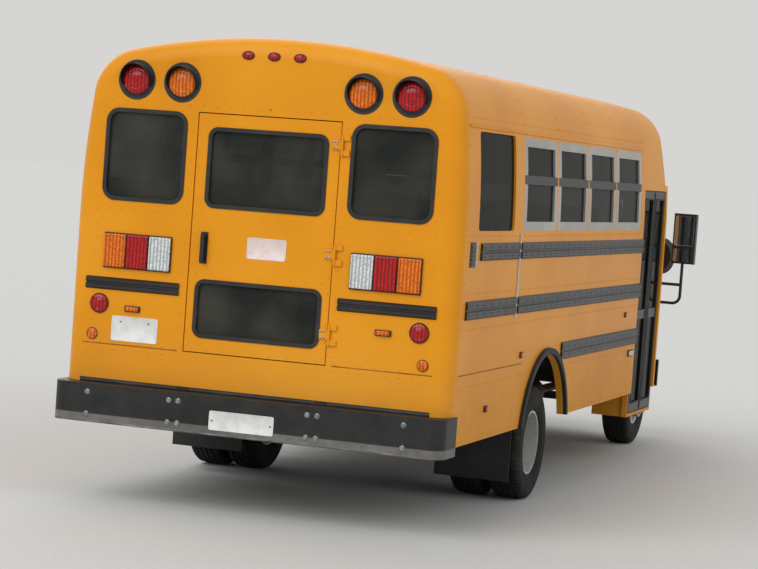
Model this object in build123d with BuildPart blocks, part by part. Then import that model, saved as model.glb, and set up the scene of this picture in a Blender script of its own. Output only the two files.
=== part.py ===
"""Short school bus on a cutaway van chassis, as an assembly of separate named parts.

Frame: X to the bus's right, Y forward, Z up, origin on the ground under the middle of its length.
Lengths are in millimetres. Stations run forward from the outside of the rear wall.
"""

from build123d import *
import math
import os

os.makedirs("parts", exist_ok=True)

# Overall lengths along the bus
bumper_stand = 120  # rear bumper face behind the rear wall
rear_overhang = 2200  # rear wall to rear axle
wheelbase = 4040
front_overhang = 760  # front axle to front bumper face
overall_length = bumper_stand + rear_overhang + wheelbase + front_overhang
rear_y = bumper_stand - overall_length / 2
rear_axle_y = rear_y + rear_overhang
front_axle_y = rear_axle_y + wheelbase
front_y = front_axle_y + front_overhang
joint_gap = 6  # running gap round doors and the hood

# Body cross-section
half_width = 1200
wall = 45
skirt_z = 520
tumble_z = 1710  # the sides are upright below this height
eave_z = 2430
eave_inset = 45
roof_z = 2790
corner_radius = 300  # roof corner, seen from behind
end_radius = 110  # rear corners, seen from above
floor_z = 860
floor_thickness = 40

# Wheels
tyre_radius = 372
tyre_width = 215
bead_radius = 208  # where tyre and rim meet
front_wheel_x = 870
kingpin_x = 745
dual_x = 910  # middle of the rear pair
dual_half_spacing = 133
rear_arch_radius = 590
front_arch_radius = 460
front_arch_z = 390

# Van cab
cab_half_width = 1005
cab_top_half_width = 905
cab_wall = 45
belt_z = 1380
cap_z = 2110  # underside of the front cap
screen_foot_y = 2620
screen_slope = 0.515  # how far the windshield leans back for each unit of height
hood_rear_y = 2800
hood_rear_z = 1350
hood_front_y = 3420
hood_front_z = 1120
nose_brow_z = 1010
nose_y = 3490
nose_z = 560
nose_half_width = 940
nose_corner_radius = 130
cab_floor_z = 755
van_overrun = 40  # the van's form is cut to length after it is hollowed


def station(distance):
    """The Y of a place measured forward from the rear wall."""
    return rear_y + distance


# Where the body panels meet
rear_seam_y = station(end_radius)
cap_y = station(4850)  # roof and left wall end, front cap begins
roof_seam_z = 2385
entrance_rear_y = station(4930)
entrance_front_y = station(5730)
entrance_top_z = 2065
entrance_low_z = 345
return_y = entrance_front_y + wall  # front of the right wall
door_front_y = 2482  # front edge of the driver's door
front_lean = 300  # how far the forehead leans back from its lip to the roof
cap_corner_radius = 95
soffit_thickness = 25

# Rear wall
rear_door_half = 440
rear_door_low_z = 936
rear_door_high_z = 2330
rear_pane_x = 767
rear_pane_width = 518
rear_pane_low_z = 1784
rear_pane_high_z = 2330
rear_pane_corner = 80
rear_hinge_x = 456
rear_hinge_y = rear_y - 12
rear_hinge_zs = (1110, 1570, 2200)
plate_place = (-760, 1072)
plate_hole_radius = 3.5
plate_hole_spacing = 178
bumper_notch_x = 1090
bumper_notch_z = 725

# Side windows; the four forward of the end window have sashes
window_pitch = 866
first_pillar = 1337
pillar_gap = 30
sill_z = 1765
head_z = 2340
window_corner = 30
end_window = (station(350), station(1140))
sash_windows = [
    (
        station(first_pillar + window_pitch * k) + pillar_gap / 2,
        station(first_pillar + window_pitch * (k + 1)) - pillar_gap / 2,
    )
    for k in range(4)
]
sash_depth = 30  # sash frames, measured into the wall
stile = 72
rail = 56
meeting_z = 2080  # rail between the sliding upper pane and the lower one
glass_thickness = 6
gasket_width = 24
gasket_proud = 5


def section_plane(y):
    """A plane across the bus at y, seen from behind, with Z up."""
    return Plane.XZ.offset(-y)


def slab(x, y, z, mode=Mode.ADD):
    """A box between two corners, given as (low, high) along each axis."""
    with Locations(((x[0] + x[1]) / 2, (y[0] + y[1]) / 2, (z[0] + z[1]) / 2)):
        return Box(x[1] - x[0], y[1] - y[0], z[1] - z[0], mode=mode)


def mirrored(side, low, high):
    """The interval low to high on the right side, or its mirror image on the left."""
    return (low, high) if side > 0 else (-high, -low)


def side_prism(points, x):
    """A solid with an outline in Y and Z, between two X."""
    with BuildPart() as prism:
        with BuildSketch(Plane.YZ.offset(x[0])):
            with BuildLine():
                Polyline(*points, close=True)
            make_face()
        extrude(amount=x[1] - x[0])
    return prism.part


# Barrel hinges with upright pins
barrel_radius = 8
barrel_half = 28  # half the moving barrel
hinge_half = 60
hinge_pin_radius = 4
fit_play = 0.3


def hinge_pins(x, y, zs):
    """The fixed barrels of each hinge, above and below the moving one, with the pin."""
    end_length = hinge_half - barrel_half - fit_play
    with BuildPart() as pins:
        for z in zs:
            with Locations((x, y, z)):
                Cylinder(hinge_pin_radius, 2 * hinge_half)
            with Locations(*[(x, y, z + up * (hinge_half - end_length / 2)) for up in (-1, 1)]):
                Cylinder(barrel_radius, end_length)
    return pins.part


def hinge_barrels(x, y, zs):
    """The moving barrels, bored for the pin."""
    with BuildPart() as barrels:
        with Locations(*[(x, y, z) for z in zs]):
            Cylinder(barrel_radius, 2 * barrel_half)
            Cylinder(hinge_pin_radius + fit_play, 2 * barrel_half, mode=Mode.SUBTRACT)
    return barrels.part


# Body envelope: two arcs lean each side in and crown the roof
lean_angle = 2 * math.degrees(math.atan(eave_inset / (eave_z - tumble_z)))
lean_radius = (eave_inset**2 + (eave_z - tumble_z) ** 2) / (2 * eave_inset)
corner_x = half_width - eave_inset - corner_radius * math.cos(math.radians(lean_angle))
corner_z = eave_z - corner_radius * math.sin(math.radians(lean_angle))
roof_rise = roof_z - corner_z
crown_radius = (corner_x**2 + roof_rise**2 - corner_radius**2) / (2 * (roof_rise - corner_radius))
crown_angle = math.degrees(math.atan2(crown_radius - roof_rise, corner_x))


def body_form(inset, y_end):
    """The body's form moved in by inset, from the rear wall to y_end; inside, its corners are sharp."""
    half = half_width - inset
    with BuildPart() as form:
        with BuildSketch(section_plane(rear_y + inset)):
            with BuildLine():
                Line((half, skirt_z - inset), (half, tumble_z))
                CenterArc((half_width - lean_radius, tumble_z), lean_radius - inset, 0, lean_angle)
                CenterArc((corner_x, corner_z), corner_radius - inset, lean_angle, crown_angle - lean_angle)
                CenterArc((0, roof_z - crown_radius), crown_radius - inset, crown_angle, 90 - crown_angle)
                mirror(about=Plane.YZ)
                Line((-half, skirt_z - inset), (half, skirt_z - inset))
            make_face()
        extrude(amount=-(y_end - rear_y - inset))
        if inset < wall:
            rear_edges = form.faces().sort_by(Axis.Y)[0].edges().sort_by(Axis.Z)[1:]
            fillet(rear_edges, radius=end_radius - inset)
    return form.part


def body_layer(near, far):
    """The part of the body's skin between two depths below its outside."""
    with BuildPart() as layer:
        add(body_form(near, return_y))
        add(body_form(far, return_y + wall), mode=Mode.SUBTRACT)
    return layer.part


body_skin = body_layer(0, wall)


def body_x(z):
    """The X of the right side's outside at height z."""
    if z <= tumble_z:
        return half_width
    return half_width - lean_radius + math.sqrt(lean_radius**2 - (z - tumble_z) ** 2)


def forehead_y(z, inset=0):
    """The Y of the front cap's face at height z."""
    return return_y - inset - front_lean * (z - cap_z) / (roof_z - cap_z)


def screen_y(z):
    """The Y of the windshield's outside at height z."""
    return screen_foot_y - screen_slope * (z - belt_z)


# Side walls, from the rear seam to the driver's door on the left and past the entrance on the right
def front_return(side):
    """The narrow wall that runs inboard to the van cab at a side wall's front end."""
    y_end = return_y if side > 0 else cap_y
    with BuildPart() as panel:
        add(body_form(0, y_end))
        slab(
            mirrored(side, cab_top_half_width - cab_wall, half_width),
            (y_end - wall, y_end),
            (skirt_z, cap_z),
            mode=Mode.INTERSECT,
        )
    return panel.part


def side_wall(side):
    y_end = return_y if side > 0 else cap_y
    with BuildPart() as panel:
        add(body_skin)
        slab(mirrored(side, 0, half_width + 1), (rear_seam_y, y_end), (skirt_z, roof_seam_z), mode=Mode.INTERSECT)
        if side > 0:
            slab((0, half_width + 1), (cap_y, return_y + 1), (cap_z, roof_seam_z + 1), mode=Mode.SUBTRACT)
        add(front_return(side))
        with BuildSketch(Plane.YZ):
            with Locations((rear_axle_y, tyre_radius)):
                Circle(rear_arch_radius)
            for rear, front in [end_window] + sash_windows:
                with Locations(((rear + front) / 2, (sill_z + head_z) / 2)):
                    RectangleRounded(front - rear, head_z - sill_z, window_corner)
            if side > 0:
                with Locations(((entrance_rear_y + entrance_front_y) / 2, entrance_top_z)):
                    Rectangle(
                        entrance_front_y - entrance_rear_y,
                        entrance_top_z - skirt_z + 1,
                        align=(Align.CENTER, Align.MAX),
                    )
        extrude(amount=side * (half_width + 1), mode=Mode.SUBTRACT)
    return panel


side_wall_right = side_wall(1)
side_wall_left = side_wall(-1)

# Rear wall, with the rounded corners and the bulged roof edge
with BuildPart() as rear_wall:
    add(body_skin)
    slab((-half_width, half_width), (rear_y, rear_seam_y), (skirt_z, roof_z), mode=Mode.INTERSECT)
    slab((-bumper_notch_x, bumper_notch_x), (rear_y, rear_seam_y), (skirt_z, bumper_notch_z), mode=Mode.SUBTRACT)
    with BuildSketch(section_plane(rear_y)):
        with Locations((0, rear_door_low_z - joint_gap)):
            Rectangle(
                2 * (rear_door_half + joint_gap),
                rear_door_high_z - rear_door_low_z + 2 * joint_gap,
                align=(Align.CENTER, Align.MIN),
            )
        for side in (-1, 1):
            with Locations((side * rear_pane_x, (rear_pane_low_z + rear_pane_high_z) / 2)):
                RectangleRounded(rear_pane_width, rear_pane_high_z - rear_pane_low_z, rear_pane_corner)
    extrude(amount=-wall, mode=Mode.SUBTRACT)
    with BuildSketch(section_plane(rear_y)):
        with Locations(plate_place):
            with GridLocations(plate_hole_spacing, 0, 2, 1):
                Circle(plate_hole_radius)
    extrude(amount=-wall, mode=Mode.SUBTRACT)
    for z in rear_hinge_zs:
        for up in (-1, 1):
            z_span = sorted((z + up * (barrel_half + fit_play), z + up * hinge_half))
            slab((rear_hinge_x, rear_hinge_x + 45), (rear_hinge_y, rear_y), z_span)
    add(hinge_pins(rear_hinge_x, rear_hinge_y, rear_hinge_zs))

with BuildPart() as roof:
    add(body_skin)
    slab((-half_width, half_width), (rear_seam_y, cap_y), (roof_seam_z, roof_z), mode=Mode.INTERSECT)


def cap_form(inset):
    """The front cap's solid form: the body's section cut off by the leaning forehead."""
    high = roof_z + 1
    with BuildPart() as form:
        add(body_form(inset, return_y + 1))
        add(
            side_prism(
                [
                    (cap_y - inset, cap_z - inset),
                    (forehead_y(cap_z - inset, inset), cap_z - inset),
                    (forehead_y(high, inset), high),
                    (cap_y - inset, high),
                ],
                (-half_width, half_width),
            ),
            mode=Mode.INTERSECT,
        )
        if inset < wall:
            brow = form.faces().filter_by(lambda face: face.normal_at().Y > 0.5).sort_by(Axis.Y)[-1]
            fillet(brow.edges().sort_by(Axis.Z)[1:], radius=cap_corner_radius - inset)
    return form.part


def soffit(x, y):
    """A strip of the front cap's underside."""
    with BuildPart() as strip:
        add(cap_form(0))
        slab(x, y, (cap_z, cap_z + soffit_thickness), mode=Mode.INTERSECT)
    return strip.part


# Front cap over the cab, with a soffit where it stands out past the van
with BuildPart() as front_cap:
    add(cap_form(0))
    add(cap_form(wall), mode=Mode.SUBTRACT)
    add(soffit((-half_width, half_width), (screen_y(cap_z) - cab_wall, return_y)))
    add(soffit((-half_width, cab_wall - cab_top_half_width), (cap_y, return_y)))


def van_form(inset):
    """The van's solid outer form from the driver's door to the grille, moved in by inset."""
    reach = van_overrun + 2 * inset
    low = nose_z - reach
    high = cap_z + reach
    with BuildPart() as form:
        with BuildSketch(section_plane(cap_y - reach)):
            with BuildLine():
                Polyline(
                    (-cab_half_width, low - inset),
                    (cab_half_width, low - inset),
                    (cab_half_width, belt_z),
                    (cab_top_half_width, cap_z),
                    (cab_top_half_width, high + inset),
                    (-cab_top_half_width, high + inset),
                    (-cab_top_half_width, cap_z),
                    (-cab_half_width, belt_z),
                    close=True,
                )
            make_face()
            if inset:
                offset(amount=-inset, kind=Kind.INTERSECTION, mode=Mode.REPLACE)
        extrude(amount=-(nose_y - cap_y + reach))
        with BuildSketch(Plane.XY.offset(low)):
            with BuildLine():
                Polyline(
                    (-cab_half_width, cap_y - reach),
                    (cab_half_width, cap_y - reach),
                    (cab_half_width, hood_rear_y),
                    (nose_half_width, nose_y),
                    (-nose_half_width, nose_y),
                    (-cab_half_width, hood_rear_y),
                    close=True,
                )
            face = make_face()
            fillet(face.vertices().group_by(Axis.Y)[-1], radius=nose_corner_radius)
            if inset:
                offset(amount=-inset, kind=Kind.INTERSECTION, mode=Mode.REPLACE)
        extrude(amount=high - low, mode=Mode.INTERSECT)
        with BuildSketch(Plane.YZ.offset(-cab_half_width)):
            with BuildLine():
                Polyline(
                    (cap_y - reach, low - inset),
                    (cap_y - reach, high + inset),
                    (screen_y(high + inset), high + inset),
                    (screen_foot_y, belt_z),
                    (hood_rear_y, hood_rear_z),
                    (hood_front_y, hood_front_z),
                    (nose_y, nose_brow_z),
                    (nose_y, low - inset),
                    close=True,
                )
            make_face()
            if inset:
                offset(amount=-inset, kind=Kind.INTERSECTION, mode=Mode.REPLACE)
        extrude(amount=2 * cab_half_width, mode=Mode.INTERSECT)
    return form.part


def van_layer(near, far):
    """The part of the van's skin between two depths below its outside."""
    with BuildPart() as layer:
        add(van_form(near))
        add(van_form(far), mode=Mode.SUBTRACT)
        slab((-half_width, half_width), (cap_y, nose_y), (nose_z, cap_z), mode=Mode.INTERSECT)
    return layer.part


van_skin = van_layer(0, cab_wall)

# The driver's door follows the front wheel arch below and the windshield pillar above
door_rear_y = cap_y + 16  # room for the inner edge as the door swings
door_foot_y = 2284
door_knee_z = 850
door_elbow_z = 1015
door_low_z = 640
door_head_z = 2035
door_pillar = 112  # width of the pillar between windshield and door
door_outline = [
    (door_rear_y, door_low_z),
    (door_foot_y, door_low_z),
    (door_foot_y, door_knee_z),
    (door_front_y, door_elbow_z),
    (door_front_y, belt_z + 20),
    (screen_y(door_head_z) - door_pillar, door_head_z),
    (door_rear_y, door_head_z),
]
door_window = [
    (door_rear_y + 75, belt_z + 25),
    (door_front_y - 105, belt_z + 25),
    (screen_y(door_head_z - 60) - door_pillar - 80, door_head_z - 60),
    (door_rear_y + 75, door_head_z - 60),
]


def outline_prism(points, grow, x):
    """A prism along X of an outline in Y and Z, grown by a margin."""
    with BuildPart() as prism:
        with BuildSketch(Plane.YZ.offset(x[0])):
            with BuildLine():
                Polyline(*points, close=True)
            make_face()
            if grow:
                offset(amount=grow, kind=Kind.INTERSECTION, mode=Mode.REPLACE)
        extrude(amount=x[1] - x[0])
    return prism.part


door_hinge_x = -cab_half_width - 9
door_hinge_y = door_front_y + joint_gap / 2
door_hinge_zs = (1110, 1290)
left_side = (-half_width, -600)
with BuildPart() as driver_door:
    add(van_skin)
    add(outline_prism(door_outline, 0, left_side), mode=Mode.INTERSECT)
    add(outline_prism(door_window, 0, left_side), mode=Mode.SUBTRACT)
    for z in door_hinge_zs:
        slab((door_hinge_x + 2, -cab_half_width), (door_hinge_y - 40, door_hinge_y), (z - barrel_half, z + barrel_half))
        with Locations((door_hinge_x, door_hinge_y, z)):
            Cylinder(hinge_pin_radius + fit_play, 2 * barrel_half, mode=Mode.SUBTRACT)
    add(hinge_barrels(door_hinge_x, door_hinge_y, door_hinge_zs))

with BuildPart() as driver_door_glass:
    add(van_layer(18, 18 + glass_thickness))
    add(outline_prism(door_window, 0, left_side), mode=Mode.INTERSECT)

def hood_z(y):
    """The Z of the hood's top at y."""
    return hood_rear_z + (y - hood_rear_y) * (hood_front_z - hood_rear_z) / (hood_front_y - hood_rear_y)


# Hood, hinged at the cowl, with a raised middle
hood_half_width = 850
hood_depth = 130  # the lines where hood and fenders part, below the top
hood_rear_gap = 12
hood_hinge_y = hood_rear_y + 22
hood_hinge_z = hood_rear_z - 18
hood_bulge = 22  # the raised middle of the hood
hood_bulge_half = 470
hood_pin_radius = 5
hood_pin_length = 12
with BuildPart() as hood:
    add(van_skin)
    add(
        side_prism(
            [
                (hood_rear_y + hood_rear_gap, hood_rear_z + 100),
                (hood_rear_y + hood_rear_gap, hood_rear_z - hood_depth),
                (hood_front_y - joint_gap, hood_front_z - hood_depth + 20),
                (hood_front_y - joint_gap, hood_rear_z + 100),
            ],
            (-hood_half_width, hood_half_width),
        ),
        mode=Mode.INTERSECT,
    )
    add(
        side_prism(
            [
                (hood_rear_y + hood_rear_gap + 30, hood_z(hood_rear_y + hood_rear_gap + 30) - 5),
                (hood_rear_y + hood_rear_gap + 60, hood_z(hood_rear_y + hood_rear_gap + 60) + hood_bulge),
                (hood_front_y - 60, hood_z(hood_front_y - 60) + hood_bulge),
                (hood_front_y - 30, hood_z(hood_front_y - 30) - 5),
            ],
            (-hood_bulge_half, hood_bulge_half),
        )
    )
    for side in (-1, 1):
        with BuildSketch(Plane.YZ.offset(side * hood_half_width)):
            with Locations((hood_hinge_y, hood_hinge_z)):
                Circle(hood_pin_radius + fit_play)
        extrude(amount=-side * (hood_pin_length + 1), mode=Mode.SUBTRACT)

# Windshield, on a plane that leans back from the cowl
screen_plane = Plane(
    origin=(0, screen_foot_y, belt_z),
    x_dir=(1, 0, 0),
    z_dir=(0, -1, -screen_slope),
)
screen_stretch = math.sqrt(1 + screen_slope**2)
screen_low = 45
screen_high = (cap_z - belt_z) * screen_stretch - 70
screen_foot_half = 905
screen_head_half = 822
screen_corner = 70
with BuildSketch() as screen_outline:
    with BuildLine():
        Polyline(
            (-screen_foot_half, screen_low),
            (screen_foot_half, screen_low),
            (screen_head_half, screen_high),
            (-screen_head_half, screen_high),
            close=True,
        )
    make_face()
    fillet(screen_outline.vertices(), radius=screen_corner)

with BuildPart() as windshield:
    with BuildSketch(screen_plane.offset(14)):
        add(screen_outline.sketch)
    extrude(amount=glass_thickness)

# Nose: fenders, grille panel and inner wheel arches
nose_outline = [
    (door_foot_y + joint_gap, nose_z - 1),
    (door_foot_y + joint_gap, door_knee_z + 3),
    (door_front_y + joint_gap, door_elbow_z + 3),
    (door_front_y + joint_gap, belt_z - 80),
    (hood_rear_y, belt_z - 80),
    (hood_rear_y, belt_z + 1),
    (nose_y + 1, belt_z + 1),
    (nose_y + 1, nose_z - 1),
]
grille_half_width = 430
grille_low_z = 700
grille_high_z = 960
lamp_x = (475, 800)
lamp_z = (745, 925)
liner_inner_x = 540
liner_thickness = 10
nose_notch_z = 725
with BuildPart() as nose:
    add(van_skin)
    add(side_prism(nose_outline, (-half_width, half_width)), mode=Mode.INTERSECT)
    add(
        side_prism(
            [
                (hood_rear_y - 1, hood_rear_z + 100),
                (hood_rear_y - 1, hood_rear_z - hood_depth - joint_gap),
                (hood_front_y, hood_front_z - hood_depth + 14),
                (hood_front_y, hood_rear_z + 100),
            ],
            (-hood_half_width - joint_gap, hood_half_width + joint_gap),
        ),
        mode=Mode.SUBTRACT,
    )
    slab((0, half_width), (cap_y, return_y), (nose_z, belt_z), mode=Mode.SUBTRACT)
    slab((-grille_half_width, grille_half_width), (nose_y - 200, nose_y + 1), (grille_low_z, grille_high_z), mode=Mode.SUBTRACT)
    slab((-560, 560), (nose_y - 200, nose_y + 1), (nose_z, 660), mode=Mode.SUBTRACT)
    for side in (-1, 1):
        slab(mirrored(side, *lamp_x), (nose_y - 200, nose_y + 1), lamp_z, mode=Mode.SUBTRACT)
    with BuildSketch(Plane.YZ.offset(-half_width)):
        with Locations((front_axle_y, front_arch_z)):
            Circle(front_arch_radius)
    extrude(amount=2 * half_width, mode=Mode.SUBTRACT)
    for side in (-1, 1):
        x = mirrored(side, liner_inner_x, cab_half_width - cab_wall + 5)
        with BuildSketch(Plane.YZ.offset(x[0])):
            with Locations((front_axle_y, front_arch_z)):
                Circle(front_arch_radius + liner_thickness)
                Circle(front_arch_radius, mode=Mode.SUBTRACT)
            with Locations((front_axle_y, nose_z)):
                Rectangle(3 * front_arch_radius, 3 * front_arch_radius, align=(Align.CENTER, Align.MAX), mode=Mode.SUBTRACT)
        extrude(amount=x[1] - x[0])
    for z in door_hinge_zs:
        for up in (-1, 1):
            z_span = sorted((z + up * (barrel_half + fit_play), z + up * hinge_half))
            slab((door_hinge_x + 2, -cab_half_width), (door_hinge_y, door_hinge_y + 40), z_span)
    add(hinge_pins(door_hinge_x, door_hinge_y, door_hinge_zs))
    for side in (-1, 1):
        with BuildSketch(Plane.YZ.offset(side * (hood_half_width + joint_gap))):
            with Locations((hood_hinge_y, hood_hinge_z)):
                Circle(hood_pin_radius)
        extrude(amount=-side * (joint_gap + hood_pin_length))

# Cab shell: windshield frame, pillars, cowl, sill, firewall and the cab's floor
firewall_y = 2640
cab_plate = 30  # thickness of the cab's floor and firewall
step_inner_x = 645  # inboard edge of the step well
liner_top_z = front_arch_z + front_arch_radius + liner_thickness
with BuildPart() as cab_shell:
    add(van_skin)
    add(side_prism(nose_outline, (-half_width, half_width)), mode=Mode.SUBTRACT)
    slab((-half_width, half_width), (hood_rear_y, nose_y), (nose_z, cap_z), mode=Mode.SUBTRACT)
    add(outline_prism(door_outline, joint_gap, left_side), mode=Mode.SUBTRACT)
    slab((0, half_width), (cap_y, return_y), (nose_z, cap_z - wall), mode=Mode.SUBTRACT)
    with BuildSketch(screen_plane.offset(-100)):
        add(screen_outline.sketch)
    extrude(amount=200, mode=Mode.SUBTRACT)
    cab_inner_x = cab_half_width - cab_wall
    slab((-cab_inner_x, -cab_inner_x + 20), (cap_y, door_foot_y), (nose_z, cab_floor_z))
    slab((-cab_inner_x, step_inner_x), (cap_y, door_foot_y), (cab_floor_z - cab_plate, cab_floor_z))
    slab((-liner_inner_x, liner_inner_x), (door_foot_y, firewall_y), (cab_floor_z - cab_plate, cab_floor_z))
    slab((-liner_inner_x, liner_inner_x), (firewall_y - cab_plate, firewall_y), (cab_floor_z - cab_plate, hood_rear_z - 20))
    slab((-cab_inner_x, cab_inner_x), (firewall_y - cab_plate, firewall_y), (liner_top_z + 1, hood_rear_z - 20))

# Floor of the passenger room on cross sills, with boxes over the rear wheels
wheel_box_x = (640, half_width - wall)
wheel_box_half_length = 470
wheel_box_top = 965
sheet = 12
sill_low_z = 720
sill_width = 60
body_floor_x = half_width - wall
floor_front_y = cap_y
sill_ys = [station(300), station(900), station(1480), station(2920), station(3560), station(4200), station(4800)]
with BuildPart() as floor:
    floor_low_z = floor_z - floor_thickness
    slab((-body_floor_x, body_floor_x), (rear_seam_y, floor_front_y), (floor_low_z, floor_z))
    slab((-(body_floor_x - 70), body_floor_x - 70), (rear_y + wall, rear_seam_y), (floor_low_z, floor_z))
    slab((0, body_floor_x), (floor_front_y, entrance_rear_y), (floor_low_z, floor_z))
    for y in sill_ys:
        slab((-body_floor_x, body_floor_x), (y - sill_width / 2, y + sill_width / 2), (sill_low_z, floor_low_z))
    for side in (-1, 1):
        y = (rear_axle_y - wheel_box_half_length, rear_axle_y + wheel_box_half_length)
        slab(mirrored(side, *wheel_box_x), y, (floor_z, wheel_box_top))
        slab(
            mirrored(side, wheel_box_x[0] + sheet, wheel_box_x[1]),
            (y[0] + sheet, y[1] - sheet),
            (floor_low_z, wheel_box_top - sheet),
            mode=Mode.SUBTRACT,
        )
    add(front_return(-1), mode=Mode.SUBTRACT)

# Step well inside the entrance: two treads, risers and end plates
well_outer_x = 1180
tread_zs = (360, 610)
tread_thickness = 25
tread_middle_x = 905
plate = 20
with BuildPart() as step_well:
    well_y = (entrance_rear_y, entrance_front_y)
    slab((tread_middle_x, well_outer_x), well_y, (tread_zs[0] - tread_thickness, tread_zs[0]))
    slab((tread_middle_x, tread_middle_x + plate), well_y, (tread_zs[0], tread_zs[1] - tread_thickness))
    slab((step_inner_x, tread_middle_x + plate), well_y, (tread_zs[1] - tread_thickness, tread_zs[1]))
    slab((step_inner_x, step_inner_x + plate), well_y, (tread_zs[1], floor_z))
    for y in ((entrance_rear_y, entrance_rear_y + plate), (entrance_front_y - plate, entrance_front_y)):
        slab((tread_middle_x, well_outer_x - 45), y, (tread_zs[0], skirt_z + 1))
        slab((step_inner_x, well_outer_x - 45), y, (tread_zs[1], floor_z))
    slab((well_outer_x - 40, well_outer_x), (entrance_rear_y - plate, entrance_rear_y), (tread_zs[0] - tread_thickness, skirt_z))
    slab((well_outer_x - 40, well_outer_x), (entrance_front_y, entrance_front_y + plate), (tread_zs[0] - tread_thickness, skirt_z))

# Entrance door: two leaves with tall panes, each on a shaft that stands between step and header
leaf_thickness = 35
leaf_outer_x = 1184
shaft_x = leaf_outer_x - 9
door_shaft_radius = 9
shaft_stand = 14.5  # shaft centre from the door post
leaf_meeting_gap = 10
leaf_low_z = tread_zs[0] + 8
leaf_high_z = entrance_top_z - joint_gap
leaf_middle_y = (entrance_rear_y + entrance_front_y) / 2
leaf_stile = 48
leaf_panes = ((leaf_low_z + 70, 1080), (1150, leaf_high_z - 60))
entrance_leaves = {}
entrance_glass = {}
entrance_shafts = {"rear": entrance_rear_y + shaft_stand, "front": entrance_front_y - shaft_stand}
for name, shaft_y in entrance_shafts.items():
    toward = 1 if shaft_y < leaf_middle_y else -1
    free_y = leaf_middle_y - toward * leaf_meeting_gap / 2
    pane_y = (shaft_y + free_y) / 2
    pane_width = abs(free_y - shaft_y) - 2 * leaf_stile
    with BuildPart() as leaf:
        slab(
            (leaf_outer_x - leaf_thickness, leaf_outer_x),
            (min(shaft_y, free_y), max(shaft_y, free_y)),
            (leaf_low_z, leaf_high_z),
        )
        with BuildSketch(Plane.YZ.offset(leaf_outer_x - leaf_thickness)):
            for low, high in leaf_panes:
                with Locations((pane_y, (low + high) / 2)):
                    RectangleRounded(pane_width, high - low, 30)
        extrude(amount=leaf_thickness, mode=Mode.SUBTRACT)
        with BuildSketch(Plane.XY.offset(tread_zs[0] + fit_play)):
            with Locations((shaft_x, shaft_y)):
                Circle(door_shaft_radius)
        extrude(amount=entrance_top_z - tread_zs[0] - 2 * fit_play)
    entrance_leaves[name] = leaf
    with BuildPart() as panes:
        with BuildSketch(Plane.YZ.offset(leaf_outer_x - leaf_thickness / 2)):
            for low, high in leaf_panes:
                with Locations((pane_y, (low + high) / 2)):
                    RectangleRounded(pane_width, high - low, 30)
        extrude(amount=glass_thickness)
    entrance_glass[name] = panes

# Sash windows: aluminium frames that follow the wall's lean, with a meeting rail
sash_skin = body_layer(0, sash_depth)
pane_skin = body_layer(14, 14 + glass_thickness)
pane_zs = ((sill_z + rail, meeting_z - rail / 2), (meeting_z + rail / 2, head_z - rail))
window_sashes = {}
side_panes = {}
for name, side in (("left", -1), ("right", 1)):
    with BuildPart() as sashes:
        add(sash_skin)
        with BuildSketch(Plane.YZ):
            for rear, front in sash_windows:
                with Locations(((rear + front) / 2, (sill_z + head_z) / 2)):
                    RectangleRounded(front - rear, head_z - sill_z, window_corner)
                for low, high in pane_zs:
                    with Locations(((rear + front) / 2, (low + high) / 2)):
                        Rectangle(front - rear - 2 * stile, high - low, mode=Mode.SUBTRACT)
        extrude(amount=side * (half_width + 1), mode=Mode.INTERSECT)
    window_sashes[name] = sashes
    with BuildPart() as panes:
        add(pane_skin)
        with BuildSketch(Plane.YZ):
            for rear, front in sash_windows:
                for low, high in pane_zs:
                    with Locations(((rear + front) / 2, (low + high) / 2)):
                        Rectangle(front - rear - 2 * stile, high - low)
            with Locations(((end_window[0] + end_window[1]) / 2, (sill_z + head_z) / 2)):
                RectangleRounded(end_window[1] - end_window[0], head_z - sill_z, window_corner)
        extrude(amount=side * (half_width + 1), mode=Mode.INTERSECT)
    side_panes[name] = panes

with BuildPart() as rear_panes:
    with BuildSketch(section_plane(rear_y + 12)):
        for side in (-1, 1):
            with Locations((side * rear_pane_x, (rear_pane_low_z + rear_pane_high_z) / 2)):
                RectangleRounded(
                    rear_pane_width - 2 * gasket_width,
                    rear_pane_high_z - rear_pane_low_z - 2 * gasket_width,
                    rear_pane_corner - gasket_width,
                )
    extrude(amount=-glass_thickness)

# Rubber gaskets of the rear windows
with BuildPart() as rear_gaskets:
    with BuildSketch(section_plane(rear_y - gasket_proud)):
        for side in (-1, 1):
            with Locations((side * rear_pane_x, (rear_pane_low_z + rear_pane_high_z) / 2)):
                RectangleRounded(rear_pane_width, rear_pane_high_z - rear_pane_low_z, rear_pane_corner)
                RectangleRounded(
                    rear_pane_width - 2 * gasket_width,
                    rear_pane_high_z - rear_pane_low_z - 2 * gasket_width,
                    rear_pane_corner - gasket_width,
                    mode=Mode.SUBTRACT,
                )
    extrude(amount=-(gasket_proud + wall))

# Rear emergency door: middle, half width, low, high and corner of each window
door_thickness = 40
rear_door_y = rear_y + 2
rear_door_windows = ((0, 373, 1782, 2255, 60), (0, 395, 1020, 1365, 60))
with BuildPart() as rear_door:
    slab((-rear_door_half, rear_door_half), (rear_door_y, rear_door_y + door_thickness), (rear_door_low_z, rear_door_high_z))
    with BuildSketch(section_plane(rear_door_y)):
        for x, half, low, high, corner in rear_door_windows:
            with Locations((x, (low + high) / 2)):
                RectangleRounded(2 * half, high - low, corner)
    extrude(amount=-door_thickness, mode=Mode.SUBTRACT)
    for z in rear_hinge_zs:
        z_span = (z - barrel_half, z + barrel_half)
        slab((rear_door_half - 45, rear_door_half), (rear_y - 6, rear_door_y), z_span)
        slab((rear_door_half, rear_hinge_x), (rear_y - 6, rear_y - 1.5), z_span)
        with Locations((rear_hinge_x, rear_hinge_y, z)):
            Cylinder(hinge_pin_radius + fit_play, 2 * barrel_half, mode=Mode.SUBTRACT)
    add(hinge_barrels(rear_hinge_x, rear_hinge_y, rear_hinge_zs))

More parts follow.
